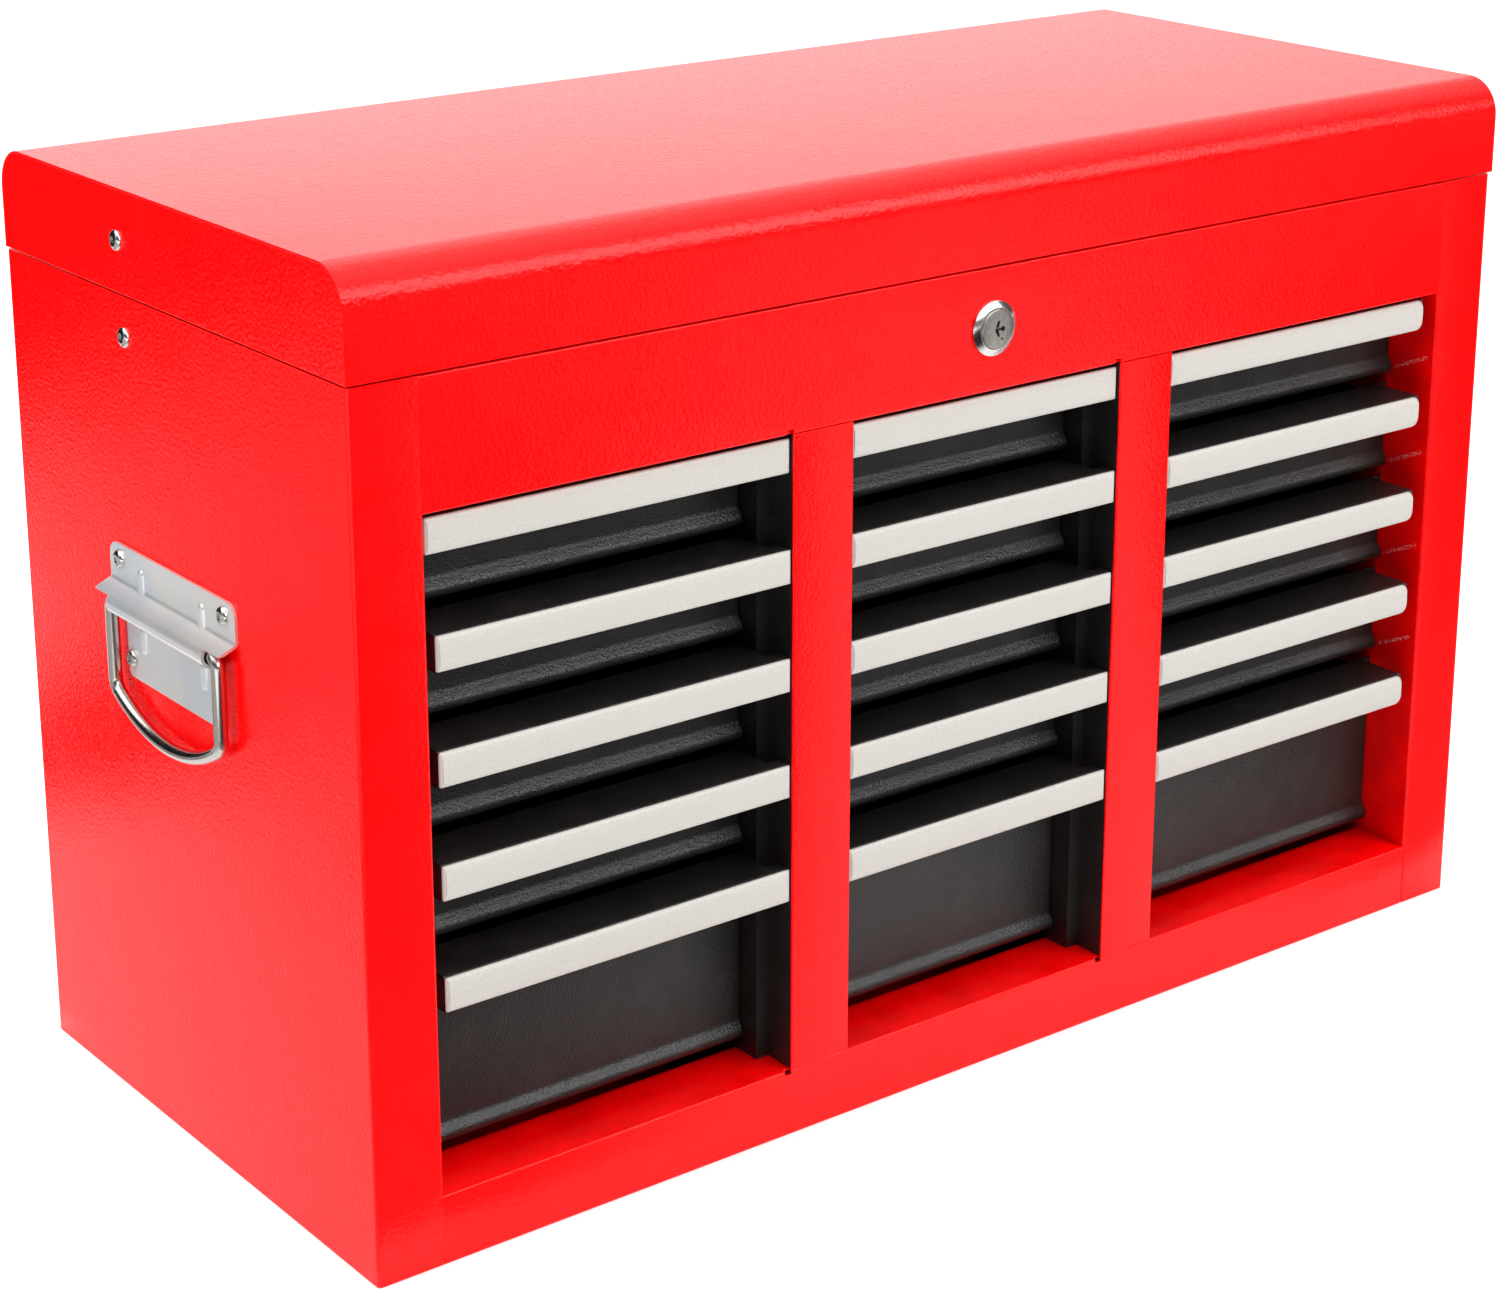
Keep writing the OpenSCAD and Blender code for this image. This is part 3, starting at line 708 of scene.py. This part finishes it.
lockLook = {
    "flange": 11.5,
    "flangeEdge": 1.0,
    "flangeTop": 8.9,
    "flangeOut": 2.2,
    "barrel": 9.0,
    "barrelDepth": 18.0,
    "threads": 17,
    "threadDepth": 0.35,
    "plug": 8.2,
    "plugOut": 2.9,
    "plugTail": [(3.9, 18.2), (3.9, 20.4), (3.2, 20.4), (3.2, 22.4), (0, 22.4)],
    "keyDeep": 6.0,
    "keySlot": [(-0.1, 3.4), (1.2, 3.4), (0.2, 0.9), (0.3, 0.5), (2.0, 0.45), (2.0, -0.45),
                (0.3, -0.5), (0.2, -0.9), (1.1, -3.1), (0.0, -3.3), (-1.5, -0.5), (-1.5, 0.3)],
    "ward": {"place": (2.6, 0.0), "radius": 1.15},
    "dimple": {"place": (1.7, -4.4), "radius": 0.95, "deep": 0.5},
}


def lockBody():
    # threaded barrel behind a coned flange
    out = lockLook["flangeOut"]
    hole = lockLook["plug"] + 0.15
    r = lockLook["flange"]
    profile = [(hole, lockLook["barrelDepth"]), (hole, -out + 0.25), (hole + 0.2, -out),
               (lockLook["flangeTop"] - 0.15, -out), (lockLook["flangeTop"] + 0.15, -out + 0.12),
               (r - 0.2, -lockLook["flangeEdge"] - 0.1), (r, -lockLook["flangeEdge"] + 0.1), (r, 0.0),
               (lockLook["barrel"], 0.0)]
    crest = lockLook["barrel"]
    for i in range(lockLook["threads"]):
        profile += [(crest, 1.0 + i), (crest - lockLook["threadDepth"], 1.5 + i)]
    profile += [(crest, lockLook["barrelDepth"]), (hole, lockLook["barrelDepth"])]
    mesh = turned(profile, at(0, 0, railLook["lockHeight"]), (0, 1, 0), 72)
    bmesh.ops.remove_doubles(mesh, verts=mesh.verts[:], dist=1e-6)
    addPiece("lockBody", mesh, "case", "bright", ["lock_body"], 0.0, sharp=24.0)


def lockPlug():
    # plug with a bent key slot, a side ward and a shallow dimple below
    z = railLook["lockHeight"]
    r = lockLook["plug"]
    face = -lockLook["plugOut"]
    tail = lockLook["plugTail"]
    profile = [(0, face), (r - 0.9, face), (r - 0.35, face + 0.12), (r, face + 0.55), (r, tail[0][1])]
    mesh = turned(profile + tail, at(0, 0, z), (0, 1, 0), 72)
    deep = lockLook["keyDeep"]
    ward = lockLook["ward"]
    dimple = lockLook["dimple"]
    cuts = [(lockLook["keySlot"], deep),
            (arcPoints(ward["place"], ward["radius"], 0, 342, 19), deep * 0.6),
            (arcPoints(dimple["place"], dimple["radius"], 0, 342, 19), dimple["deep"])]
    across = lambda u, v, w: at(u, w, v + z)
    mesh = cutAway(mesh, [prism(outline, across, face - 2.0, face + reach) for outline, reach in cuts])
    addPiece("lockPlug", mesh, "plug", "nickel", ["lock_plug"], 0.1)


lockBody()
lockPlug()
keepNode("lock_nut", "zinc")
keepNode("lock_cam", "zinc")
print("lock dressed")


handleLook = {
    "middle": 138.7,
    "channelZ": 226.5,
    "rodOff": 5.4,
    "rod": 2.8,
    "halfLegs": 44.0,
    "topBend": 4.2,
    "legFoot": 193.5,
    "footBend": 7.0,
    "bow": 78.0,
}


def bailPath():
    # closed loop in depth and z: bar in the channel, legs, corners and the shallow bow
    half = handleLook["halfLegs"]
    corner = handleLook["footBend"]
    bend = handleLook["topBend"]
    bow = handleLook["bow"]
    foot = handleLook["legFoot"]
    top = handleLook["channelZ"]
    swing = math.degrees(math.asin((half - corner) / (bow - corner)))
    midZ = foot + (bow - corner) * math.cos(math.radians(swing))
    right = arcPoints((half - bend, top - bend), bend, 90, 0, 6)
    right += arcPoints((half - corner, foot), corner, 0, -90 + swing, 8)
    right += arcPoints((0.0, midZ), bow, -90 + swing, -90, 12)[1:]
    left = [(-u, v) for u, v in reversed(right[:-1])]
    return right + left


def bail(name, node, body, side):
    # round wire swept along the closed loop
    curve = bpy.data.curves.new(name, "CURVE")
    curve.dimensions = "3D"
    curve.bevel_depth = handleLook["rod"] * mm
    curve.bevel_resolution = 6
    points = bailPath()
    line = curve.splines.new("POLY")
    line.points.add(len(points) - 1)
    x = side * (chest["halfWidth"] + handleLook["rodOff"])
    for point, (u, v) in zip(line.points, points):
        point.co = (*at(x, handleLook["middle"] + u, v), 1.0)
    line.use_cyclic_u = True
    line.use_smooth = True
    curve.materials.append(finishes["rod"])
    piece = bpy.data.objects.new(name, curve)
    bpy.context.collection.objects.link(piece)
    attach(piece, body)
    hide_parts(node)


bail("bailLeft", "bail_left", "bail_l", -1)
bail("bailRight", "bail_right", "bail_r", 1)

plateLook = {
    "thick": 1.2,
    "halfWidth": 51.25,
    "top": 249.0,
    "topCorner": 6.0,
    "halfTongue": 39.5,
    "foot": 194.5,
    "footCorner": 3.0,
    "channel": 4.7,
    "roofTop": 233.4,
    "notchHalf": 4.2,
    "notchTop": 229.8,
    "mouth": 6.0,
    "mouthRound": 1.0,
    "lipAngle": 66,
    "roofRound": 1.6,
    "ribX": 25.0,
    "ribs": [((-0.4, 209.5), (-0.4, 216.5), 3.0), ((-0.4, 231.5), (-0.4, 240.5), 3.0)],
}


def cornerCutter(w, v, sideways, up, radius, place):
    # the waste outside a rounded corner whose tip is at (w, v)
    centre = (w - sideways * radius, v - up * radius)
    outline = [(w + sideways * 2, v + up * 2), (w + sideways * 2, centre[1])]
    for u, rise in arcPoints((0.0, 0.0), radius, 0, 90, 8):
        outline.append((centre[0] + sideways * u, centre[1] + up * rise))
    outline.append((centre[0], v + up * 2))
    return prism(outline, place, -1.0, 4.0)


def pressedRib(low, high, radius, across):
    # round-ended rib pressed out of the plate; its ends are (out, z)
    base = chest["halfWidth"]
    start, end = [at(-base - out, handleLook["middle"] + across, z) for out, z in (low, high)]
    length = (end - start).length / mm
    profile = arcPoints((0.0, 0.0), radius, -90, 0, 6)
    profile[0] = (0, -radius)
    profile += [(u, length - v) for u, v in reversed(profile)]
    mesh = turned(profile, start, end - start, 24)
    bmesh.ops.bisect_plane(mesh, geom=mesh.verts[:] + mesh.edges[:] + mesh.faces[:],
                           plane_co=at(-base - 0.4, 0, 0), plane_no=(1, 0, 0), clear_outer=True)
    bmesh.ops.holes_fill(mesh, edges=mesh.edges[:])
    return mesh


def handlePlate():
    # one pressed plate: wide top with rounded corners, channel over the rod, narrow tongue below
    t = plateLook["thick"]
    z = handleLook["channelZ"]
    off = handleLook["rodOff"]
    r = plateLook["channel"]
    base = chest["halfWidth"]
    middle = handleLook["middle"]
    wide = plateLook["halfWidth"]
    narrow = plateLook["halfTongue"]
    mouth = z - r - plateLook["mouth"]
    path = [(t, plateLook["foot"])]
    path += roundPath([(t, mouth), (t, z - r), (off, z - r)], plateLook["mouthRound"], 4)[:-1]
    path += arcPoints((off, z), r, -90, plateLook["lipAngle"], 18)
    u, v = path[-1]
    path += roundPath([(u - 0.01, v + 0.01), (t, plateLook["roofTop"]), (t, plateLook["top"])],
                      plateLook["roofRound"], 5)
    across = lambda u, v, w: at(-base - u, middle + w, v)
    face = lambda u, v, w: at(-base - w, middle + u, v)
    sheet = foldedSheet(path, t, across, -wide, wide)
    cutters = []
    for s in (-1, 1):
        cutters.append(cornerCutter(s * wide, plateLook["top"], s, 1, plateLook["topCorner"], face))
        cutters.append(cornerCutter(s * narrow, plateLook["foot"], s, -1, plateLook["footCorner"], face))
        # beside the tongue, then room for the bail's leg
        low, high = sorted((s * narrow, s * (wide + 2)))
        cutters.append(box((-base - 3.0, middle + low, 180.0),
                           (-base + 1.0, middle + high, z - r + t + 0.4)))
        low, high = sorted((s * (handleLook["halfLegs"] - plateLook["notchHalf"]), s * (wide + 2)))
        cutters.append(box((-base - 20.0, middle + low, mouth),
                           (-base - t - 0.02, middle + high, plateLook["notchTop"])))
    parts = [cutAway(sheet, cutters)]
    for s in (-1, 1):
        for low, high, radius in plateLook["ribs"]:
            bore = prism(arcPoints((off, z), r - t, 0, 345, 23), across, -60, 60)
            parts.append(cutAway(pressedRib(low, high, radius, s * plateLook["ribX"]), [bore]))
    return joined(parts)


def handlePlates():
    left = handlePlate()
    right = mirrored(left)
    addPiece("handlePlates", joined([left, right]), "case", "zinc", ["handle_plates"], 0.2)


handlePlates()

# spots are depth and z, those of the handle from its middle
rivetLook = {
    "handleSpots": [(-42.5, 242.7), (42.5, 242.7), (-35.5, 202.5), (35.5, 202.5)],
    "handle": {"head": 3.9, "tall": 2.1, "shank": 2.0, "tail": 3.2},
    "handleGrip": 2.2,
    "stay": {"head": 4.2, "tall": 2.0, "shank": 1.9, "tail": 3.0},
    "wellShare": 0.27,
    "lidStay": {"spot": (169.6, 375.0), "face": 300.5, "grip": 5.4},
    "caseStay": {"spot": (168.4, 336.5), "face": 300.0, "grip": 3.0},
}


def rivet(origin, side, look, grip):
    # blind rivet: domed head, a small well with the mandrel stub in it, and the set tail
    head, tall, shank, tail = look["head"], look["tall"], look["shank"], look["tail"]
    well = head * rivetLook["wellShare"]
    profile = [(0, tall * 0.45), (well * 0.75, tall * 0.45), (well * 0.8, tall * 0.2),
               (well, tall * 0.2), (well + 0.05, tall * 0.93), (well + 0.25, tall)]
    for i in range(1, 11):
        a = math.radians(15 + 75 * i / 10)
        profile.append((well + 0.25 + (head - well - 0.25) * math.sin(a),
                        0.3 + (tall - 0.3) * math.cos(a)))
    profile += [(head, 0.0), (shank, 0.0), (shank, -grip), (tail, -grip - 0.3), (tail, -grip - 1.2),
                (tail * 0.6, -grip - 1.8), (0, -grip - 1.8)]
    return turned(profile, origin, (side, 0, 0), 40)


def handleRivets():
    meshes = []
    face = chest["halfWidth"] + plateLook["thick"]
    for side in (-1, 1):
        for u, v in rivetLook["handleSpots"]:
            origin = at(side * face, handleLook["middle"] + u, v)
            meshes.append(rivet(origin, side, rivetLook["handle"], rivetLook["handleGrip"]))
    addPiece("handleRivets", joined(meshes), "case", "bright", ["handle_rivets"], 0.0, sharp=50.0)


def stayRivets(name, node, body, look):
    meshes = []
    for side in (-1, 1):
        origin = at(side * look["face"], *look["spot"])
        meshes.append(rivet(origin, side, rivetLook["stay"], look["grip"]))
    addPiece(name, joined(meshes), body, "bright", [node], 0.0, sharp=50.0)


handleRivets()
stayRivets("stayRivetsLid", "stay_rivets_lid", "lid", rivetLook["lidStay"])
stayRivets("stayRivetsCase", "stay_rivets_case", "case", rivetLook["caseStay"])
print("handles and rivets dressed")


drawerLook = {
    "firstTop": 299.4,
    "pitch": 45.3,
    "clear": 4.4,
    "lastFoot": 35.0,
    "pullHeight": 14.6,
    "pullDepth": 6.4,
    "pullRound": 1.6,
    "pullEnd": 1.2,
    "pullIn": 2.0,
    "topPullIn": 3.0,
    "panelIn": 27.0,
    "panelSlack": 0.8,
    "beadRadius": 3.2,
    "beadSteps": 24,
    "shoulder": 4.8,
    "shoulderAngle": 146,
    "shoulderRound": 4.0,
    "trayLength": 220.0,
    "traySlack": 2.0,
    "trayLift": 1.4,
    "trayDrop": 6.0,
    "trayRound": 1.4,
    "trimHeight": 14.0,
    "trimCrown": [(0.0, 0.0), (0.0, 0.35), (0.3, 0.8), (0.9, 1.14), (1.9, 1.38), (3.3, 1.53),
                  (5.4, 1.6)],
}
# walls and grip run from x to x; the top grip reaches further; ends are the strip's corner radii
columns = {
    "left": {"walls": (-270.0, -108.0), "pull": (-265.8, -102.4), "topReach": 3.0, "ends": (1.0, 0.3)},
    "mid": {"walls": (-66.0, 66.0), "pull": (-71.6, 71.6), "topReach": 0.0, "ends": (1.0, 0.3)},
    "right": {"walls": (108.0, 270.0), "pull": (102.4, 263.0), "topReach": 0.0, "ends": (1.0, 4.2)},
}


def rowTop(row):
    # rows are counted from the top, 1 to 5
    return drawerLook["firstTop"] - (row - 1) * drawerLook["pitch"]


def rowFoot(row):
    return drawerLook["lastFoot"] if row == 5 else rowTop(row + 1) + drawerLook["clear"]


def pullFace(row):
    # how far the grip's nose stands behind the front face
    return drawerLook["topPullIn"] if row == 1 else drawerLook["pullIn"]


def pullSpan(column, row):
    a, b = columns[column]["pull"]
    return (a - columns[column]["topReach"], b) if row == 1 else (a, b)


def pullSheet(row, a, b):
    # grip of the drawer: up over its rounded nose and back along the web
    top = rowTop(row)
    s = pullFace(row)
    low = top - drawerLook["pullHeight"]
    back = drawerLook["panelIn"]
    path = roundPath([(s + drawerLook["pullDepth"], low), (s, low), (s, top), (back + 0.5, top)],
                     drawerLook["pullRound"], 7)
    return foldedSheet(path, -1.0, alongX, a, b)


def pullEnd(row, x, inward):
    # closed end of the grip
    top = rowTop(row)
    s = pullFace(row)
    low = top - drawerLook["pullHeight"]
    deep = s + drawerLook["pullDepth"]
    gap = 0.05
    corners = [(deep, low + gap), (s + gap, low + gap), (s + gap, top - gap), (deep, top - gap)]
    outline = roundPath(corners, drawerLook["pullRound"], 7)
    return prism(outline, alongX, x, x + inward)


def panelSheet(row, a, b):
    # recessed front panel, led over a soft shoulder into the bead rolled along its foot
    d = drawerLook["panelIn"]
    r = drawerLook["beadRadius"]
    foot = rowFoot(row)
    centre = (d + 0.5, foot + r)
    join = math.degrees(math.acos(0.5 / r))
    meet = math.radians(drawerLook["shoulderAngle"])
    path = [(d, rowTop(row) - 0.05)]
    path += roundPath([(d, rowTop(row) - 1.0), (d, centre[1] + drawerLook["shoulder"]),
                       (centre[0] + r * math.cos(meet), centre[1] + r * math.sin(meet))],
                      drawerLook["shoulderRound"], 7)
    path += arcPoints(centre, r, 152, 180 - join + 300, drawerLook["beadSteps"])
    return foldedSheet(path, 1.0, alongX, a, b)


def trayBox(row, a, b):
    # open tray behind the panel: floor and walls in one folded sheet, and a back plate
    low = rowFoot(row) + drawerLook["trayLift"]
    high = rowTop(row) - drawerLook["trayDrop"]
    start = drawerLook["panelIn"] + 1.0
    end = start + drawerLook["trayLength"]
    across = roundPath([(a, high), (a, low), (b, low), (b, high)], drawerLook["trayRound"])
    shell = foldedSheet(across, 1.0, lambda u, v, w: at(u, w, v), start, end)
    back = box((a + 0.4, end - 1.0, low + 0.4), (b - 0.4, end, high))
    return [shell, back]


def drawer(column, row):
    # grip, panel and tray are one body and one piece
    walls = columns[column]["walls"]
    pull = pullSpan(column, row)
    a = walls[0] + drawerLook["panelSlack"]
    b = walls[1] - drawerLook["panelSlack"]
    body = "tray_{}_{}".format(column, row)
    web = (max(a, pull[0]), min(b, pull[1]))
    thick = drawerLook["pullEnd"]
    meshes = [pullSheet(row, *pull), pullEnd(row, pull[0], thick), pullEnd(row, pull[1], -thick)]
    if web != tuple(pull):
        # beyond the panel the web is cut back to the grip
        cut = drawerLook["pullDepth"] + pullFace(row)
        gone = []
        if web[0] > pull[0]:
            gone.append(box((pull[0] - 1, cut, 0), (web[0], 60, 400)))
        if web[1] < pull[1]:
            gone.append(box((web[1], cut, 0), (pull[1] + 1, 60, 400)))
        meshes[0] = cutAway(meshes[0], gone)
    meshes.append(panelSheet(row, a, b))
    meshes += trayBox(row, walls[0] + drawerLook["traySlack"], walls[1] - drawerLook["traySlack"])
    addPiece("drawer_{}_{}".format(column, row), joined(meshes), body, "black",
             ["drawer_{}_{}".format(column, row)], 0.2)


def ringOutline(a, b, low, high, ends, inset, steps=6):
    # rounded oblong with its own corner radius at each end, shrunk by inset
    left, right = [max(0.3, corner - inset) for corner in ends]
    along = min(inset, 1.2)
    a, b, low, high = a + along, b - along, low + inset, high - inset
    outline = arcPoints((b - right, high - right), right, 0, 90, steps)
    outline += arcPoints((a + left, high - left), left, 90, 180, steps)
    outline += arcPoints((a + left, low + left), left, 180, 270, steps)
    outline += arcPoints((b - right, low + right), right, 270, 360, steps)
    return outline


def trim(column, row):
    # pale crowned strip on the grip
    a, b = pullSpan(column, row)
    s = pullFace(row)
    middle = rowTop(row) - drawerLook["pullHeight"] / 2
    low = middle - drawerLook["trimHeight"] / 2
    high = middle + drawerLook["trimHeight"] / 2
    mesh = bmesh.new()
    rings = []
    for inset, out in drawerLook["trimCrown"]:
        outline = ringOutline(a, b, low, high, columns[column]["ends"], inset)
        rings.append([mesh.verts.new(at(u, s - out, v)) for u, v in outline])
    for one, two in zip(rings, rings[1:]):
        for i in range(len(one)):
            k = (i + 1) % len(one)
            mesh.faces.new((one[i], one[k], two[k], two[i]))
    mesh.faces.new(rings[-1])
    mesh.faces.new(rings[0][::-1])
    bmesh.ops.recalc_face_normals(mesh, faces=mesh.faces[:])
    addPiece("trim_{}_{}".format(column, row), mesh, "tray_{}_{}".format(column, row), "pale",
             ["trim_{}_{}".format(column, row)], 0.0, sharp=50.0)


for column in columns:
    for row in range(1, 6):
        drawer(column, row)
        trim(column, row)
print("drawers dressed")


floorLook = {
    "colour": rgb(0.78, 0.78, 0.78),
    "shade": rgb(0.76, 0.76, 0.76),
    "size": 14.0,
    "under": 0.0004,
    "glow": 0.15,
}


def floor():
    # plain pale floor just under the chest, lit a little from within
    mesh = bmesh.new()
    bmesh.ops.create_grid(mesh, x_segments=8, y_segments=8, size=floorLook["size"] / 2)
    data = bpy.data.meshes.new("studioFloor")
    mesh.to_mesh(data)
    mesh.free()
    piece = bpy.data.objects.new("studioFloor", data)
    piece.location = (0, 0, -floorLook["under"])
    bpy.context.collection.objects.link(piece)
    paint = newPaint("floorPaint")
    cloud = paint.mix(paint.noise(3.0, 2.0), floorLook["colour"], floorLook["shade"])
    data.materials.append(paint.finish(Base_Color=cloud, Roughness=0.8, Emission_Color=rgb(1, 1, 1),
                                       Emission_Strength=floorLook["glow"]))


# each glow is a soft patch of light from one direction; from and full are cosines
skyLook = {
    "wall": rgb(1.0, 1.0, 1.0),
    "level": 0.1,
    "glows": [
        {"toward": (0.42, 0.85, 0.3), "from": 0.68, "full": 1.0, "level": 1.5},
        {"toward": (0.0, 0.0, 1.0), "from": 0.42, "full": 0.8, "level": 2.2},
        {"toward": (-0.6, 0.45, 0.65), "from": 0.7, "full": 0.95, "level": 1.0},
    ],
}


def sky():
    # dim studio with three glows in it; seen directly it is a plain white wall
    world = bpy.data.worlds.new("studioSky")
    bpy.context.scene.world = world
    paint = Paint(world, "Generated")
    level = skyLook["level"]
    for glow in skyLook["glows"]:
        toward = paint.add("ShaderNodeVectorMath", {"operation": "DOT_PRODUCT"}, {
            0: paint.place, 1: Vector(glow["toward"]).normalized()}, "Value")
        level = level + paint.ramp(toward, glow["from"], glow["full"], 0.0, glow["level"])
    light = paint.add("ShaderNodeBackground", {}, {"Strength": level})
    wall = paint.add("ShaderNodeBackground", {}, {"Color": skyLook["wall"]})
    seen = paint.add("ShaderNodeLightPath", {}, {}, "Is Camera Ray")
    both = paint.add("ShaderNodeMixShader", {}, {0: seen, 1: light, 2: wall})
    paint.add("ShaderNodeOutputWorld", {}, {"Surface": both})


# corners in metres; lean, rise and fall place the streak, near the light beside the chest
cardLook = {
    "frontCard": {"level": 1.25, "low": (-0.7, -3.0, 0.004), "high": (3.5, -0.16, 0.004),
                  "lean": (1.0, 0.85), "rise": (-0.42, -0.2), "fall": (0.0, 0.25), "dim": 0.0,
                  "near": (-0.5, -0.2), "nearShare": 0.2},
    "frontBox": {"level": 5.5, "low": (-1.5, -3.2, 1.3), "high": (4.0, -3.2, 3.3)},
    "leftCard": {"level": 0.0, "low": (-2.6, 1.0, 0.0), "high": (-0.33, 1.0, 1.5)},
    "sideCard": {"level": 1.1, "low": (-2.6, -0.3, 0.003), "high": (-0.305, 1.0, 0.003),
                 "lean": (1.0, 0.0), "rise": (-0.62, -0.44), "fall": (0.0, 1.0), "dim": 0.48,
                 "near": (2.0, 3.0), "nearShare": 0.0},
    "footCard": {"level": 0.0, "low": (-0.60, 0.35, 0.004), "high": (-0.385, 0.52, 0.004)},
}


def reflector(name, look):
    # card that only shows in the gloss of the finishes: black at level 0, otherwise glowing
    mesh = bmesh.new()
    low, high = look["low"], look["high"]
    corners = [low, (high[0], low[1], low[2]), high, (low[0], high[1], high[2])]
    mesh.faces.new([mesh.verts.new(corner) for corner in corners])
    data = bpy.data.meshes.new(name)
    mesh.to_mesh(data)
    mesh.free()
    piece = bpy.data.objects.new(name, data)
    bpy.context.collection.objects.link(piece)
    paint = newPaint(name + "Paint")
    shade = rgb(1, 1, 1)
    if "lean" in look:
        # a bright streak across the card, and some light close to the chest
        x, y = [paint.split(paint.place, axis) for axis in range(2)]
        across = look["lean"][0] * x + look["lean"][1] * y
        streak = paint.ramp(across, *look["rise"]) * (1 - paint.ramp(across, *look["fall"]))
        near = paint.ramp(y, *look["near"]) * look["nearShare"]
        amount = paint.add("ShaderNodeMath", {"operation": "MAXIMUM"}, {0: streak, 1: near})
        shade = paint.mix(amount * (1 - look["dim"]) + look["dim"], rgb(0, 0, 0), rgb(1, 1, 1))
    data.materials.append(paint.finish(Base_Color=rgb(0, 0, 0), Roughness=1.0, IOR=1.0,
                                       Emission_Color=shade, Emission_Strength=look["level"]))
    piece.visible_camera = False
    piece.visible_diffuse = False
    piece.visible_shadow = False


lampLook = {
    "aim": (0.0, 0.0, 0.2),
    "lamps": {
        "overhead": {"place": (0.0, 0.2, 3.0), "size": 3.0, "power": 60.0},
        "keyRight": {"place": (1.4, -2.6, 1.7), "size": 1.6, "power": 56.0},
        "fillLeft": {"place": (-3.0, 0.4, 1.6), "size": 1.8, "power": 42.0},
    },
}


def lights():
    # wide soft lamps that leave no spots in the gloss
    aim = Vector(lampLook["aim"])
    for name, look in lampLook["lamps"].items():
        lamp = bpy.data.lights.new(name, "AREA")
        lamp.shape = "SQUARE"
        lamp.size = look["size"]
        lamp.energy = look["power"]
        piece = bpy.data.objects.new(name, lamp)
        piece.location = look["place"]
        piece.visible_glossy = False
        piece.rotation_euler = (aim - Vector(look["place"])).to_track_quat("-Z", "Y").to_euler()
        bpy.context.collection.objects.link(piece)


cameraLook = {
    "place": (-0.8427, -1.0747, 0.6542),
    "azimuth": 37.39,
    "down": 16.67,
    "lens": 77.6,
    "sensor": 36.0,
    "shiftY": -0.14,
}


def camera():
    data = bpy.data.cameras.new("camera")
    data.sensor_width = cameraLook["sensor"]
    data.sensor_fit = "HORIZONTAL"
    data.lens = cameraLook["lens"]
    data.shift_y = cameraLook["shiftY"]
    data.clip_start = 0.05
    piece = bpy.data.objects.new("camera", data)
    piece.location = cameraLook["place"]
    tilt = math.radians(90 - cameraLook["down"])
    piece.rotation_euler = (tilt, 0, math.radians(-cameraLook["azimuth"]))
    bpy.context.collection.objects.link(piece)
    bpy.context.scene.camera = piece


floor()
sky()
lights()
for name, look in cardLook.items():
    reflector(name, look)
camera()
bpy.context.scene.view_settings.view_transform = "Standard"
print("studio ready")
